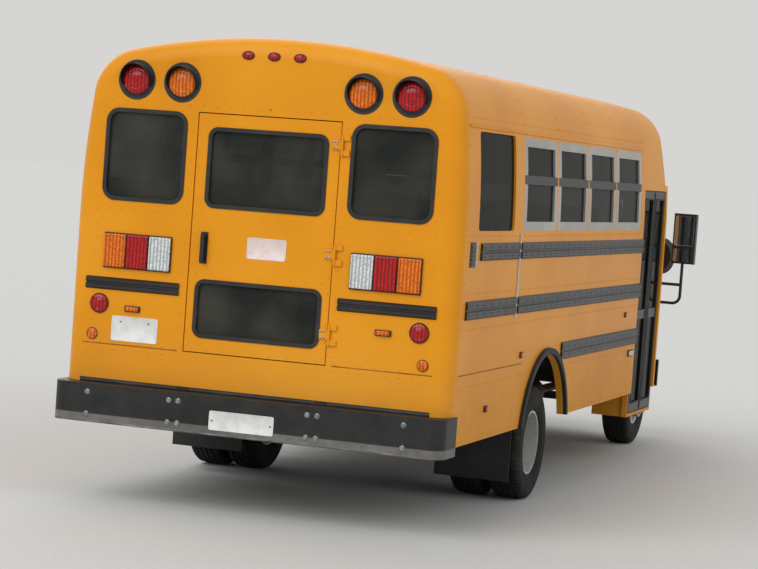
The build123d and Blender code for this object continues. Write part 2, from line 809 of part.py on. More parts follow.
# Lever handle of the emergency door on its back plate
handle_x = -355
handle_z = (1455, 1640)
handle_width = 44
handle_plate = 4
lever_proud = 30
with BuildPart() as rear_door_handle:
    slab(
        (handle_x - handle_width / 2, handle_x + handle_width / 2),
        (rear_door_y - handle_plate, rear_door_y),
        handle_z,
    )
    for z in (handle_z[0] + 30, handle_z[1] - 30):
        slab((handle_x - 9, handle_x + 9), (rear_door_y - lever_proud, rear_door_y - handle_plate), (z - 9, z + 9))
    slab(
        (handle_x - 11, handle_x + 11),
        (rear_door_y - lever_proud - 8, rear_door_y - lever_proud),
        (handle_z[0] + 10, handle_z[1] - 10),
    )

with BuildPart() as rear_door_gaskets:
    with BuildSketch(section_plane(rear_door_y - gasket_proud)):
        for x, half, low, high, corner in rear_door_windows:
            with Locations((x, (low + high) / 2)):
                RectangleRounded(2 * half, high - low, corner)
                RectangleRounded(
                    2 * (half - gasket_width), high - low - 2 * gasket_width, corner - gasket_width, mode=Mode.SUBTRACT
                )
    extrude(amount=-(gasket_proud + door_thickness))

with BuildPart() as rear_door_glass:
    with BuildSketch(section_plane(rear_door_y + 12)):
        for x, half, low, high, corner in rear_door_windows:
            with Locations((x, (low + high) / 2)):
                RectangleRounded(2 * (half - gasket_width), high - low - 2 * gasket_width, corner - gasket_width)
    extrude(amount=-glass_thickness)

# Rub rails along the sides and across the rear: low and high Z, rear and front Y
rail_proud = 14
side_rails = (
    (1590, 1695, station(420), entrance_rear_y - 10),
    (1250, 1360, station(190), entrance_rear_y - 10),
    (900, 1020, station(2560), entrance_rear_y - 10),
)
strip_y = (station(1290), station(1330))
strip_z = (1225, 1745)
strip_proud = 5
strip_gap = 2
rear_rail_x = (494, 1088)
rear_rail_z = (1252, 1327)


def rail_profile(middle, height):
    """A rub rail's section: a low trapezoid with a groove, standing out along +X."""
    with BuildSketch() as profile:
        with BuildLine():
            Polyline(
                (0, middle - height / 2),
                (rail_proud, middle - height / 2 + 10),
                (rail_proud, middle - 9),
                (rail_proud - 7, middle - 5),
                (rail_proud - 7, middle + 5),
                (rail_proud, middle + 9),
                (rail_proud, middle + height / 2 - 10),
                (0, middle + height / 2),
                close=True,
            )
        make_face()
    return profile.sketch


with BuildPart() as rub_rails:
    for low, high, rear, front in side_rails:
        for side in (-1, 1):
            y_end = front if side > 0 else cap_y - 40
            with BuildSketch(Plane(origin=(side * half_width, rear, 0), x_dir=(side, 0, 0), z_dir=(0, -side, 0))):
                add(rail_profile((low + high) / 2, high - low))
            extrude(amount=-side * (y_end - rear))
    for side in (-1, 1):
        reach = mirrored(side, half_width, half_width + rail_proud)
        slab(reach, (strip_y[0] - strip_gap, strip_y[1] + strip_gap), strip_z, mode=Mode.SUBTRACT)
    for side in (-1, 1):
        x = mirrored(side, *rear_rail_x)
        with BuildSketch(Plane(origin=(x[1], rear_y, 0), x_dir=(0, -1, 0), z_dir=(-1, 0, 0))):
            add(rail_profile((rear_rail_z[0] + rear_rail_z[1]) / 2, rear_rail_z[1] - rear_rail_z[0]))
        extrude(amount=x[1] - x[0])

# Upright strips over the joint between the body's rear section and its sides
with BuildPart() as body_strips:
    for side in (-1, 1):
        slab(mirrored(side, half_width, half_width + strip_proud), strip_y, strip_z)

# Rubber flares round the rear arches
flare_width = 38
flare_proud = 24
with BuildPart() as arch_flares:
    for side in (-1, 1):
        x = mirrored(side, half_width, half_width + flare_proud)
        with BuildSketch(Plane.YZ.offset(x[0])):
            with Locations((rear_axle_y, tyre_radius)):
                Circle(rear_arch_radius + flare_width)
                Circle(rear_arch_radius, mode=Mode.SUBTRACT)
            with Locations((rear_axle_y, skirt_z)):
                Rectangle(3 * rear_arch_radius, 3 * rear_arch_radius, align=(Align.CENTER, Align.MAX), mode=Mode.SUBTRACT)
        extrude(amount=x[1] - x[0])

# Lamps: middle X, middle Z, width and height; depth out of the wall
lamp_proud = 24
lens_groove = 6
cluster = (771, 1488, 432, 210)
with BuildPart() as tail_lamps:
    with BuildSketch(section_plane(rear_y - lamp_proud)):
        for side in (-1, 1):
            with Locations((side * cluster[0], cluster[1])):
                Rectangle(cluster[2], cluster[3])
            with Locations((side * 995, 1169)):
                Circle(60)
            with Locations((side * 1029, 986)):
                Circle(35)
            with Locations((side * 780, 1150)):
                Rectangle(100, 36)
    extrude(amount=-lamp_proud)
    for side in (-1, 1):
        for share in (-1, 1):
            x = side * cluster[0] + share * cluster[2] / 6
            slab(
                (x - lens_groove / 2, x + lens_groove / 2),
                (rear_y - lamp_proud, rear_y - lamp_proud + lens_groove),
                (cluster[1] - cluster[3] / 2, cluster[1] + cluster[3] / 2),
                mode=Mode.SUBTRACT,
            )

# Warning lamps: eight round lamps in the rear wall's top and the forehead
warning_xs = (-850, -560, 560, 850)
warning_radius = 88
warning_z = 2500
warning_proud = 20
forehead_plane = Plane(
    origin=(0, forehead_y(warning_z), warning_z), x_dir=(-1, 0, 0), z_dir=(0, roof_z - cap_z, front_lean)
)
with BuildPart() as warning_lamps:
    with BuildSketch(section_plane(rear_y)):
        with Locations(*[(x, warning_z) for x in warning_xs]):
            Circle(warning_radius)
    extrude(amount=warning_proud)
    with BuildSketch(forehead_plane):
        with Locations(*[(x, 0) for x in warning_xs]):
            Circle(warning_radius)
    extrude(amount=warning_proud)

# Clearance and side marker lamps: side, Y and Z
side_markers = [(1525, 987), (775, 702), (4500, 1135)]
with BuildPart() as marker_lamps:
    for side in (-1, 1):
        with BuildSketch(Plane.YZ.offset(side * half_width)):
            for distance, z in side_markers:
                with Locations((station(distance), z)):
                    Rectangle(70, 40)
        extrude(amount=side * 16)

# Headlamps and grille
with BuildPart() as headlamps:
    for side in (-1, 1):
        slab(mirrored(side, *lamp_x), (nose_y - cab_wall, nose_y - 3), lamp_z)

bar_count = 6
with BuildPart() as grille:
    border = 22
    depth = (nose_y - cab_wall, nose_y + 6)
    slab((-grille_half_width, grille_half_width), depth, (grille_low_z, grille_high_z))
    slab(
        (-grille_half_width + border, grille_half_width - border),
        depth,
        (grille_low_z + border, grille_high_z - border),
        mode=Mode.SUBTRACT,
    )
    opening = grille_high_z - grille_low_z - 2 * border
    for k in range(1, bar_count):
        z = grille_low_z + border + k * opening / bar_count
        slab((-grille_half_width + border, grille_half_width - border), (nose_y - 30, nose_y), (z - 8, z + 8))

# Bumpers: bent steel channels, open towards the bus
bumper_steel = 8


def bumper(y_face, y_back, half, low, high, corner):
    """A channel bumper whose face is at y_face and whose rounded ends reach back to y_back."""
    forward = 1 if y_face > y_back else -1
    with BuildPart() as bar:
        for grow, mode in ((0, Mode.ADD), (-bumper_steel, Mode.SUBTRACT)):
            with BuildSketch(Plane.XY.offset(low - grow)) as outline:
                depth = abs(y_face - y_back) + (100 if grow else 0) + grow
                with Locations((0, y_face + forward * grow - forward * depth / 2)):
                    Rectangle(2 * (half + grow), depth)
                faced = outline.vertices().group_by(Axis.Y)[-1 if forward > 0 else 0]
                fillet(faced, radius=corner + grow)
            extrude(amount=high - low + 2 * grow, mode=mode)
    return bar


bumper_clearance = 4
rear_bumper_z = (472, 700)
front_bumper_z = (430, 650)
rear_bumper_half = half_width + bumper_clearance + bumper_steel
with BuildPart() as rear_bumper:
    add(bumper(rear_y - bumper_stand, rear_y + 160, rear_bumper_half, *rear_bumper_z, 90).part)
    add(body_form(-bumper_clearance, cap_y), mode=Mode.SUBTRACT)
    slab((-bumper_notch_x, bumper_notch_x), (rear_y, rear_y + 161), rear_bumper_z, mode=Mode.SUBTRACT)
hook_hole_radius = 9
hook_spacing = (120, 80)
with BuildPart() as front_bumper:
    add(bumper(front_y, nose_y, 990, *front_bumper_z, 45).part)
    with BuildSketch(section_plane(front_y)):
        with Locations((0, (front_bumper_z[0] + front_bumper_z[1]) / 2)):
            with GridLocations(*hook_spacing, 2, 2):
                Circle(hook_hole_radius)
    extrude(amount=bumper_steel, mode=Mode.SUBTRACT)

# Chassis: two channel rails joined by cross members, carried out to both bumpers
rail_x = 430
rail_flange = 70
rail_z = (560, 720)
rail_steel = 8
rails_y = (rear_y - bumper_stand + bumper_steel, front_y - bumper_steel)
jack_y = 600
jack_pad = 12
cross_ys = [station(200), station(1500), station(2850), station(4000), station(5150)]
with BuildPart() as chassis_frame:
    for side in (-1, 1):
        x = mirrored(side, rail_x - rail_flange / 2, rail_x + rail_flange / 2)
        hollow = mirrored(side, rail_x - rail_flange / 2, rail_x + rail_flange / 2 - rail_steel)
        slab(x, rails_y, rail_z)
        slab(hollow, rails_y, (rail_z[0] + rail_steel, rail_z[1] - rail_steel), mode=Mode.SUBTRACT)
        for y, top in (((rails_y[0], rear_y), rear_bumper_z[1]), ((nose_y - cab_wall - 5, rails_y[1]), front_bumper_z[1])):
            slab(x, y, (top - bumper_steel - 1, rail_z[1]), mode=Mode.SUBTRACT)
    for y in cross_ys:
        inner = rail_x + rail_flange / 2 - rail_steel
        slab((-inner, inner), (y - 40, y + 40), (rail_z[0] + 60, rail_z[1] - rail_steel))
    slab((-inner, inner), (3330, 3380), (rail_z[0] + rail_steel, rail_z[0] + 60))
    for side in (-1, 1):
        slab(mirrored(side, rail_x - 30, rail_x + 30), (jack_y - 60, jack_y + 60), (rail_z[0] - jack_pad, rail_z[0]))

# Engine and gearbox as plain masses between the rails
engine_mount_z = rail_z[0] + 60
with BuildPart() as engine:
    slab((-290, 290), (2700, 3250), (500, 1120))
    slab((-150, 150), (2000, 2700), (460, 680))

# Driveline and rear axle
axle_tube_radius = 58
shaft_radius = 42
shaft_front = Vector(0, 2000, 560)
shaft_rear = Vector(0, rear_axle_y + 190, tyre_radius + 10)
hub_face_x = dual_x - 230
housing_half = 210
housing_middle = 60
housing_radius = 165
with BuildPart() as rear_axle:
    with BuildSketch(Plane.YZ.offset(-hub_face_x)):
        with Locations((rear_axle_y, tyre_radius)):
            Circle(axle_tube_radius)
    extrude(amount=2 * hub_face_x)
    with BuildSketch(Plane.XY.offset(tyre_radius)):
        with BuildLine():
            Polyline(
                (-housing_half, rear_axle_y),
                (-housing_half, rear_axle_y + axle_tube_radius),
                (-housing_middle, rear_axle_y + housing_radius),
                (housing_middle, rear_axle_y + housing_radius),
                (housing_half, rear_axle_y + axle_tube_radius),
                (housing_half, rear_axle_y),
                close=True,
            )
        make_face()
    revolve(axis=Axis((0, rear_axle_y, tyre_radius), (1, 0, 0)))
    with BuildSketch(Plane.XZ.offset(-rear_axle_y)):
        with Locations((0, tyre_radius)):
            Circle(80)
    extrude(amount=-190)

with BuildPart() as driveshaft:
    along = shaft_rear - shaft_front
    with BuildSketch(Plane(origin=shaft_front, z_dir=along)):
        Circle(shaft_radius)
    extrude(amount=along.length)
    add(engine.part, mode=Mode.SUBTRACT)
    add(rear_axle.part, mode=Mode.SUBTRACT)

spring_seat_z = tyre_radius + axle_tube_radius
with BuildPart() as leaf_springs:
    for side in (-1, 1):
        x = mirrored(side, rail_x - 37, rail_x + 37)
        prism_points = [
            (rear_axle_y - 640, rail_z[0]),
            (rear_axle_y - 640, rail_z[0] - 55),
            (rear_axle_y - 120, spring_seat_z - 1),
            (rear_axle_y + 120, spring_seat_z - 1),
            (rear_axle_y + 640, rail_z[0] - 55),
            (rear_axle_y + 640, rail_z[0]),
            (rear_axle_y + 590, rail_z[0]),
            (rear_axle_y + 590, rail_z[0] - 30),
            (rear_axle_y + 120, spring_seat_z + 45),
            (rear_axle_y - 120, spring_seat_z + 45),
            (rear_axle_y - 590, rail_z[0] - 30),
            (rear_axle_y - 590, rail_z[0]),
        ]
        add(side_prism(prism_points, x))
        slab(x, (rear_axle_y - 35, rear_axle_y + 35), (tyre_radius, spring_seat_z + 5))
    add(rear_axle.part, mode=Mode.SUBTRACT)

# Front axle beam, its kingpin eyes and the springs up to the rails
king_z = 330
eye_radius = 35
pin_radius = 20
beam_half_height = 30
with BuildPart() as front_axle:
    slab((-kingpin_x, kingpin_x), (front_axle_y - 32, front_axle_y + 32), (king_z - beam_half_height, king_z + beam_half_height))
    for side in (-1, 1):
        with Locations((side * kingpin_x, front_axle_y, king_z)):
            Cylinder(eye_radius, 2 * beam_half_height)
        with Locations((side * rail_x, front_axle_y, (king_z + beam_half_height + rail_z[0]) / 2)):
            Cylinder(50, rail_z[0] - king_z - beam_half_height)
    for side in (-1, 1):
        with Locations((side * kingpin_x, front_axle_y, king_z)):
            Cylinder(pin_radius + fit_play, 2 * beam_half_height, mode=Mode.SUBTRACT)

lug_height = 50
web_x = 42  # the web's inner face outboard of the kingpin
spindle_radius = 30
spindle_end = 110  # beyond the middle of the tyre
knuckles = {}
for name, side in (("left", -1), ("right", 1)):
    with BuildPart() as knuckle:
        lug_z = beam_half_height + 3 + lug_height / 2
        with Locations((side * kingpin_x, front_axle_y, king_z)):
            Cylinder(pin_radius, 2 * beam_half_height + 6 + lug_height)
        for up in (-1, 1):
            with Locations((side * kingpin_x, front_axle_y, king_z + up * lug_z)):
                Cylinder(eye_radius, lug_height)
            slab(
                mirrored(side, kingpin_x, kingpin_x + web_x + 30),
                (front_axle_y - 35, front_axle_y + 35),
                (king_z + up * lug_z - lug_height / 2, king_z + up * lug_z + lug_height / 2),
            )
        slab(
            mirrored(side, kingpin_x + web_x, kingpin_x + web_x + 30),
            (front_axle_y - 50, front_axle_y + 50),
            (king_z - lug_z, king_z + lug_z + 20),
        )
        with BuildSketch(Plane.YZ.offset(side * (kingpin_x + web_x + 30))):
            with Locations((front_axle_y, tyre_radius)):
                Circle(spindle_radius)
        extrude(amount=side * (front_wheel_x + spindle_end - kingpin_x - web_x - 30))
    knuckles[name] = knuckle

# Tyres: one profile turned round the axle, with flat walls so that six of them stay light
def tyre(x, y):
    """A tyre turned about the X axis at height tyre_radius."""
    with BuildPart() as ring:
        with BuildSketch(Plane.XY.offset(tyre_radius)):
            with Locations((x, y + (tyre_radius + bead_radius) / 2)):
                Rectangle(tyre_width, tyre_radius - bead_radius)
        revolve(axis=Axis((x, y, tyre_radius), (1, 0, 0)))
    return ring


# Rims: a band under the bead and a pressed disc like a hat, pointed to one side, so that the same rim
# serves the front and the pairs; a ring of hand holes where the disc shows
rim_thickness = 12
rim_half_width = 88
disc_thickness = 10
disc_reach = dual_half_spacing - disc_thickness / 2
crown_radius_of_disc = 150
hub_radius = 85
front_hub_inner = 10  # from the middle of the front tyre
hand_hole_count = 8
hand_hole_radius = 15


def rim(x, y, toward, bore):
    """A steel rim centred on the tyre at x, its disc standing out toward +X or -X."""
    band = bead_radius - rim_thickness
    face = disc_reach + disc_thickness / 2
    crown = crown_radius_of_disc
    with BuildPart() as wheel:
        with BuildSketch(Plane.XY.offset(tyre_radius)):
            with BuildLine():
                Polyline(
                    (x - toward * rim_half_width, y + bead_radius),
                    (x + toward * rim_half_width, y + bead_radius),
                    (x + toward * rim_half_width, y + crown),
                    (x + toward * face, y + crown),
                    (x + toward * face, y + bore),
                    (x + toward * (face - disc_thickness), y + bore),
                    (x + toward * (face - disc_thickness), y + crown - disc_thickness),
                    (x + toward * (rim_half_width - disc_thickness), y + crown - disc_thickness),
                    (x + toward * (rim_half_width - disc_thickness), y + band),
                    (x - toward * rim_half_width, y + band),
                    close=True,
                )
            make_face()
        revolve(axis=Axis((x, y, tyre_radius), (1, 0, 0)))
    return wheel


def hand_holes(x, y, toward):
    """Round plugs to cut the hand holes out of the disc of the rim at x."""
    with BuildPart() as plugs:
        with BuildSketch(Plane.YZ.offset(x + toward * (rim_half_width + 1))):
            with Locations((y, tyre_radius)):
                with PolarLocations((crown_radius_of_disc + bead_radius - rim_thickness) / 2, hand_hole_count):
                    Circle(hand_hole_radius)
        extrude(amount=-toward * (disc_thickness + 2))
    return plugs.part


front_tyres = {}
front_rims = {}
rear_tyres = {}
rear_rims = {}
for name, side in (("left", -1), ("right", 1)):
    front_tyres[name] = tyre(side * front_wheel_x, front_axle_y)
    with BuildPart() as front_rim:
        add(rim(side * front_wheel_x, front_axle_y, side, spindle_radius + fit_play).part)
        add(hand_holes(side * front_wheel_x, front_axle_y, side), mode=Mode.SUBTRACT)
        with BuildSketch(Plane.YZ.offset(side * (front_wheel_x + front_hub_inner))):
            with Locations((front_axle_y, tyre_radius)):
                Circle(hub_radius)
                Circle(spindle_radius + 1, mode=Mode.SUBTRACT)
        extrude(amount=side * (disc_reach - front_hub_inner))
        with BuildSketch(Plane.YZ.offset(side * (front_wheel_x + disc_reach + disc_thickness / 2))):
            with Locations((front_axle_y, tyre_radius)):
                Circle(52)
        extrude(amount=side * 20)
    front_rims[name] = front_rim
    outer_x = dual_x + dual_half_spacing
    inner_x = dual_x - dual_half_spacing
    with BuildPart() as pair:
        add(tyre(side * outer_x, rear_axle_y).part)
        add(tyre(side * inner_x, rear_axle_y).part)
    rear_tyres[name] = pair
    with BuildPart() as rims:
        add(rim(side * outer_x, rear_axle_y, -side, hub_radius - 5).part)
        add(hand_holes(side * outer_x, rear_axle_y, -side), mode=Mode.SUBTRACT)
        add(rim(side * inner_x, rear_axle_y, side, hub_radius - 5).part)
        with BuildSketch(Plane.YZ.offset(side * (hub_face_x + fit_play))):
            with Locations((rear_axle_y, tyre_radius)):
                Circle(hub_radius)
        extrude(amount=side * (outer_x - hub_face_x - 20))
    rear_rims[name] = rims

# Mud flaps behind the rear wheels
with BuildPart() as mud_flaps:
    for side in (-1, 1):
        slab(
            mirrored(side, dual_x - 250, half_width - wall - joint_gap),
            (rear_axle_y - rear_arch_radius + 20, rear_axle_y - rear_arch_radius + 30),
            (170, sill_low_z + 100),
        )

# Fuel tank and exhaust
with BuildPart() as fuel_tank:
    slab((-380, 380), (station(500), station(1350)), (430, 690))
    fillet(fuel_tank.edges().filter_by(Axis.Y), radius=60)
    for y in (station(640), station(1210)):
        slab((-rail_x, rail_x), (y - 25, y + 25), (rail_z[0] - 5, rail_z[0]))

pipe_radius = 32
pipe_x = 560
pipe_z = 505
hanger_z = 575
hanger_ys = (station(400), station(1300), station(3200), station(5100))
with BuildPart() as exhaust:
    with BuildSketch(section_plane(station(175))):
        with Locations((pipe_x, pipe_z)):
            Circle(pipe_radius)
    extrude(amount=-(1900 - station(175)))
    with BuildSketch(section_plane(300)):
        with Locations((pipe_x, pipe_z)):
            Ellipse(85, 95)
    extrude(amount=-700)
    for y in hanger_ys:
        slab((rail_x + rail_flange / 2, pipe_x + 5), (y - 12, y + 12), (hanger_z, hanger_z + 10))
        slab((pipe_x - 5, pipe_x + 5), (y - 12, y + 12), (pipe_z + pipe_radius - 5, hanger_z))

# Passenger benches: rows from the rear, each with a cushion, a high back and legs
bench_pitch = 700
bench_x = (290, half_width - wall - 15)
first_back_y = station(200)
cushion_top = floor_z + 440
cushion_thickness = 110
cushion_length = 400
back_thickness = 75
back_high_z = floor_z + 1080
back_lean = 60
leg_x = 360


def bench(side, back_y):
    """One bench facing forward; back_y is the rear of its back at the cushion."""
    x = mirrored(side, *bench_x)
    low = cushion_top - cushion_thickness
    with BuildPart() as seat:
        slab(x, (back_y + back_thickness - 15, back_y + back_thickness + cushion_length), (low, cushion_top))
        add(
            side_prism(
                [
                    (back_y, low - 60),
                    (back_y + back_thickness, low - 60),
                    (back_y + back_thickness - back_lean, back_high_z),
                    (back_y - back_lean, back_high_z),
                ],
                x,
            )
        )
    return seat.part


def bench_legs(side, back_y):
    """The two aisle legs and the wall rail under a bench."""
    low = cushion_top - cushion_thickness
    with BuildPart() as legs:
        for y in (back_y + 130, back_y + 420):
            slab(mirrored(side, leg_x, leg_x + 30), (y - 15, y + 15), (floor_z, low))
        slab(mirrored(side, leg_x, leg_x + 30), (back_y + 115, back_y + 435), (floor_z, floor_z + 8))
        slab(mirrored(side, bench_x[1], half_width - wall), (back_y + 100, back_y + 420), (low - 30, low + 10))
        slab(mirrored(side, leg_x, half_width - wall), (back_y + 245, back_y + 275), (low - 30, low))
    return legs.part


bench_rows = {"left": 6, "right": 6}
bench_sets = {}
with BuildPart() as bench_frames:
    for name, side in (("left", -1), ("right", 1)):
        for k in range(bench_rows[name]):
            add(bench_legs(side, first_back_y + k * bench_pitch))
for name, side in (("left", -1), ("right", 1)):
    with BuildPart() as benches:
        for k in range(bench_rows[name]):
            add(bench(side, first_back_y + k * bench_pitch))
    bench_sets[name] = benches

# Driver's place
driver_x = -480
with BuildPart() as driver_seat:
    slab((driver_x - 250, driver_x + 250), (1620, 2090), (1110, 1220))
    add(
        side_prism(
            [(1620, 1110), (1710, 1110), (1620, 1880), (1530, 1880)],
            (driver_x - 250, driver_x + 250),
        )
    )
with BuildPart() as seat_frames:
    add(bench_frames.part)
    slab((driver_x - 180, driver_x + 180), (1660, 2020), (cab_floor_z, 1110))

wheel_centre = Vector(driver_x, 2290, 1370)
column_way = Vector(0, 0.72, -0.69).normalized()
with BuildPart() as steering_wheel:
    with BuildSketch(Plane(origin=wheel_centre, x_dir=(1, 0, 0), z_dir=column_way)) as disc:
        Circle(205)
        Circle(178, mode=Mode.SUBTRACT)
        Rectangle(360, 40)
        Circle(60)
    extrude(amount=24)
    with BuildSketch(Plane(origin=wheel_centre + column_way * 24, x_dir=(1, 0, 0), z_dir=column_way)):
        Circle(32)
    extrude(amount=150)
dash_half_width = cab_half_width - cab_wall - 30
dash_back_y = firewall_y - cab_plate
dash_top_z = hood_rear_z - 20
dash_low_z = 1120
with BuildPart() as dashboard:
    add(
        side_prism(
            [
                (dash_back_y - 210, dash_low_z),
                (dash_back_y - 270, dash_low_z + 60),
                (dash_back_y - 260, dash_top_z - 40),
                (dash_back_y - 170, dash_top_z),
                (dash_back_y, dash_top_z),
                (dash_back_y, dash_low_z),
            ],
            (-dash_half_width, dash_half_width),
        )
    )
    slab((-250, 250), (dash_back_y - 310, dash_back_y), (cab_floor_z, dash_low_z))
    add(steering_wheel.part, mode=Mode.SUBTRACT)

# Mirrors: a head each side on a bent tube and a brace, both fixed to the fender, and a domed
# mirror on a post by each front corner
mirror_y = 2600
mirror_tube_x = 1300
mirror_tube_radius = 12
mirror_head_x = (1215, 1395)
mirror_head_z = (1500, 1900)
crossview_x = 898
crossview_head_x = 985
crossview_y = 3330
crossview_foot_y = 3210
crossview_z = 1530
crossview_half = (110, 150)
crossview_depth = 60
crossview_dome = 0.75  # size of the head's domed side against its rim
with BuildPart() as mirrors:
    for side in (-1, 1):
        foot_x = side * cab_half_width
        tube_x = side * mirror_tube_x
        with BuildLine() as bent:
            FilletPolyline(
                (foot_x, mirror_y, 1180), (tube_x, mirror_y, 1180), (tube_x, mirror_y, mirror_head_z[0]), radius=60
            )
        with BuildSketch(Plane(origin=(foot_x, mirror_y, 1180), z_dir=(side, 0, 0))):
            Circle(mirror_tube_radius)
        sweep(path=bent.line)
        with BuildSketch(Plane.YZ.offset(foot_x)):
            with Locations((mirror_y, 1330)):
                Circle(mirror_tube_radius)
        extrude(amount=tube_x - foot_x)
        slab(mirrored(side, *mirror_head_x), (mirror_y - 35, mirror_y + 35), mirror_head_z)
        post_y = (crossview_foot_y - mirror_tube_radius, crossview_foot_y + mirror_tube_radius)
        add(
            side_prism(
                [
                    (post_y[0], hood_z(post_y[0])),
                    (post_y[1], hood_z(post_y[1])),
                    (post_y[1], crossview_z - 80),
                    (crossview_y, crossview_z - 30),
                    (crossview_y, crossview_z),
                    (post_y[0], crossview_z - 60),
                ],
                mirrored(side, crossview_x - mirror_tube_radius, crossview_x + mirror_tube_radius),
            )
        )
        for back, share in ((0, 1), (crossview_depth, crossview_dome)):
            with BuildSketch(section_plane(crossview_y - back)):
                with Locations((side * crossview_head_x, crossview_z)):
                    Ellipse(share * crossview_half[0], share * crossview_half[1])
        loft()

# Stop arm on the left, folded flat against two lugs with an upright pin
arm_x = half_width + 26
arm_thickness = 12
arm_hinge_x = -arm_x - arm_thickness / 2
arm_hinge_y = 1330
arm_z = 1475
arm_size = 450
arm_root = 60
lug_depth = 11
with BuildPart() as stop_arm:
    with BuildSketch(Plane.YZ.offset(-arm_x)):
        with Locations((arm_hinge_y - arm_root - arm_size / 2, arm_z)):
            RegularPolygon(arm_size / 2, 8, major_radius=False, rotation=22.5)
        with Locations((arm_hinge_y, arm_z)):
            Rectangle(arm_root + 20, 2 * barrel_half, align=(Align.MAX, Align.CENTER))
    extrude(amount=-arm_thickness)
    with Locations((arm_hinge_x, arm_hinge_y, arm_z)):
        Cylinder(hinge_pin_radius + fit_play, 2 * barrel_half, mode=Mode.SUBTRACT)
    add(hinge_barrels(arm_hinge_x, arm_hinge_y, (arm_z,)))
with BuildPart() as stop_arm_bracket:
    lug_y = (arm_hinge_y - lug_depth, arm_hinge_y + lug_depth)
    for up in (-1, 1):
        z_span = sorted((arm_z + up * (barrel_half + fit_play), arm_z + up * hinge_half))
        slab((arm_hinge_x - 2, -half_width), lug_y, z_span)
    slab((-half_width - 6, -half_width), lug_y, (arm_z - hinge_half, arm_z + hinge_half))
    add(hinge_pins(arm_hinge_x, arm_hinge_y, (arm_z,)))

# Pieces of one material that no joint parts: the lamps that mark the tail and sides, the
# rubber mouldings of the body, the rear axle with its driveshaft and all passenger benches
with BuildPart() as tail_and_marker_lamps:
    add(tail_lamps.part)
    add(marker_lamps.part)

with BuildPart() as body_rubber:
    add(rear_gaskets.part)
    add(arch_flares.part)
    add(mud_flaps.part)

with BuildPart() as rear_driveline:
    add(rear_axle.part)
    add(driveshaft.part)

with BuildPart() as all_benches:
    add(bench_sets["left"].part)
    add(bench_sets["right"].part)


named_parts = {
    "chassis_frame": chassis_frame,
    "floor": floor,
    "side_wall_left": side_wall_left,
    "side_wall_right": side_wall_right,
    "rear_wall": rear_wall,
    "roof": roof,
    "front_cap": front_cap,
    "cab_shell": cab_shell,
    "nose": nose,
    "hood": hood,
    "grille": grille,
    "headlamps": headlamps,
    "front_bumper": front_bumper,
    "rear_bumper": rear_bumper,
    "windshield": windshield,
    "window_sashes_left": window_sashes["left"],
    "window_sashes_right": window_sashes["right"],
    "side_panes_left": side_panes["left"],
    "side_panes_right": side_panes["right"],
    "rear_panes": rear_panes,
    "rear_door": rear_door,
    "rear_door_handle": rear_door_handle,
    "rear_door_gaskets": rear_door_gaskets,
    "rear_door_glass": rear_door_glass,
    "driver_door": driver_door,
    "driver_door_glass": driver_door_glass,
    "entrance_leaf_front": entrance_leaves["front"],
    "entrance_leaf_rear": entrance_leaves["rear"],
    "entrance_glass_front": entrance_glass["front"],
    "entrance_glass_rear": entrance_glass["rear"],
    "step_well": step_well,
    "rub_rails": rub_rails,
    "body_strips": body_strips,
    "body_rubber": body_rubber,
    "tail_and_marker_lamps": tail_and_marker_lamps,
    "warning_lamps": warning_lamps,
    "benches": all_benches,
    "seat_frames": seat_frames,
    "driver_seat": driver_seat,
    "steering_wheel": steering_wheel,
    "dashboard": dashboard,
    "engine": engine,
    "rear_driveline": rear_driveline,
    "leaf_springs": leaf_springs,
    "front_axle": front_axle,
    "knuckle_left": knuckles["left"],
    "knuckle_right": knuckles["right"],
    "front_tyre_left": front_tyres["left"],
    "front_tyre_right": front_tyres["right"],
    "front_rim_left": front_rims["left"],
    "front_rim_right": front_rims["right"],
    "rear_tyres_left": rear_tyres["left"],
    "rear_tyres_right": rear_tyres["right"],
    "rear_rims_left": rear_rims["left"],
    "rear_rims_right": rear_rims["right"],
    "fuel_tank": fuel_tank,
    "exhaust": exhaust,
    "mirrors": mirrors,
    "stop_arm": stop_arm,
    "stop_arm_bracket": stop_arm_bracket,
}
for name, piece in named_parts.items():
    piece.part.label = name
    export_step(piece.part, f"parts/{name}.step")
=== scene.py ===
import math

import bmesh
import bpy
from mathutils import Matrix, Vector


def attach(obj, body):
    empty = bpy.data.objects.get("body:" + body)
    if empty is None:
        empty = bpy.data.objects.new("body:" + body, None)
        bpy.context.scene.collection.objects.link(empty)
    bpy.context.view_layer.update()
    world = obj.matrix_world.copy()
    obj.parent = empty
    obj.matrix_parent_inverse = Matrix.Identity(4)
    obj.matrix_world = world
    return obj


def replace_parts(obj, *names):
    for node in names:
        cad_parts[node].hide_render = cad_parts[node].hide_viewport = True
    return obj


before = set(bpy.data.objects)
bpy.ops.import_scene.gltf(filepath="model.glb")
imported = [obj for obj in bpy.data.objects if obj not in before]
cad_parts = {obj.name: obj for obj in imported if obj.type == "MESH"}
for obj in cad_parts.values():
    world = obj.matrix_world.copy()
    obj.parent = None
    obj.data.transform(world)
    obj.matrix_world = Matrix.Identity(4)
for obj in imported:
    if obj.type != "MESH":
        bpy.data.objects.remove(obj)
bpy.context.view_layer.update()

# Ladder frame and front axle. Pressed channel rails and cross members of a cutaway van chassis,
# riveted together and dipped in black chassis paint that has gone dull and dusty from the road.


def linear(colour):
    """The linear colour of an sRGB hex colour."""
    shares = [int(colour[k : k + 2], 16) / 255 for k in (1, 3, 5)]
    return [s / 12.92 if s <= 0.04045 else ((s + 0.055) / 1.055) ** 2.4 for s in shares] + [1]


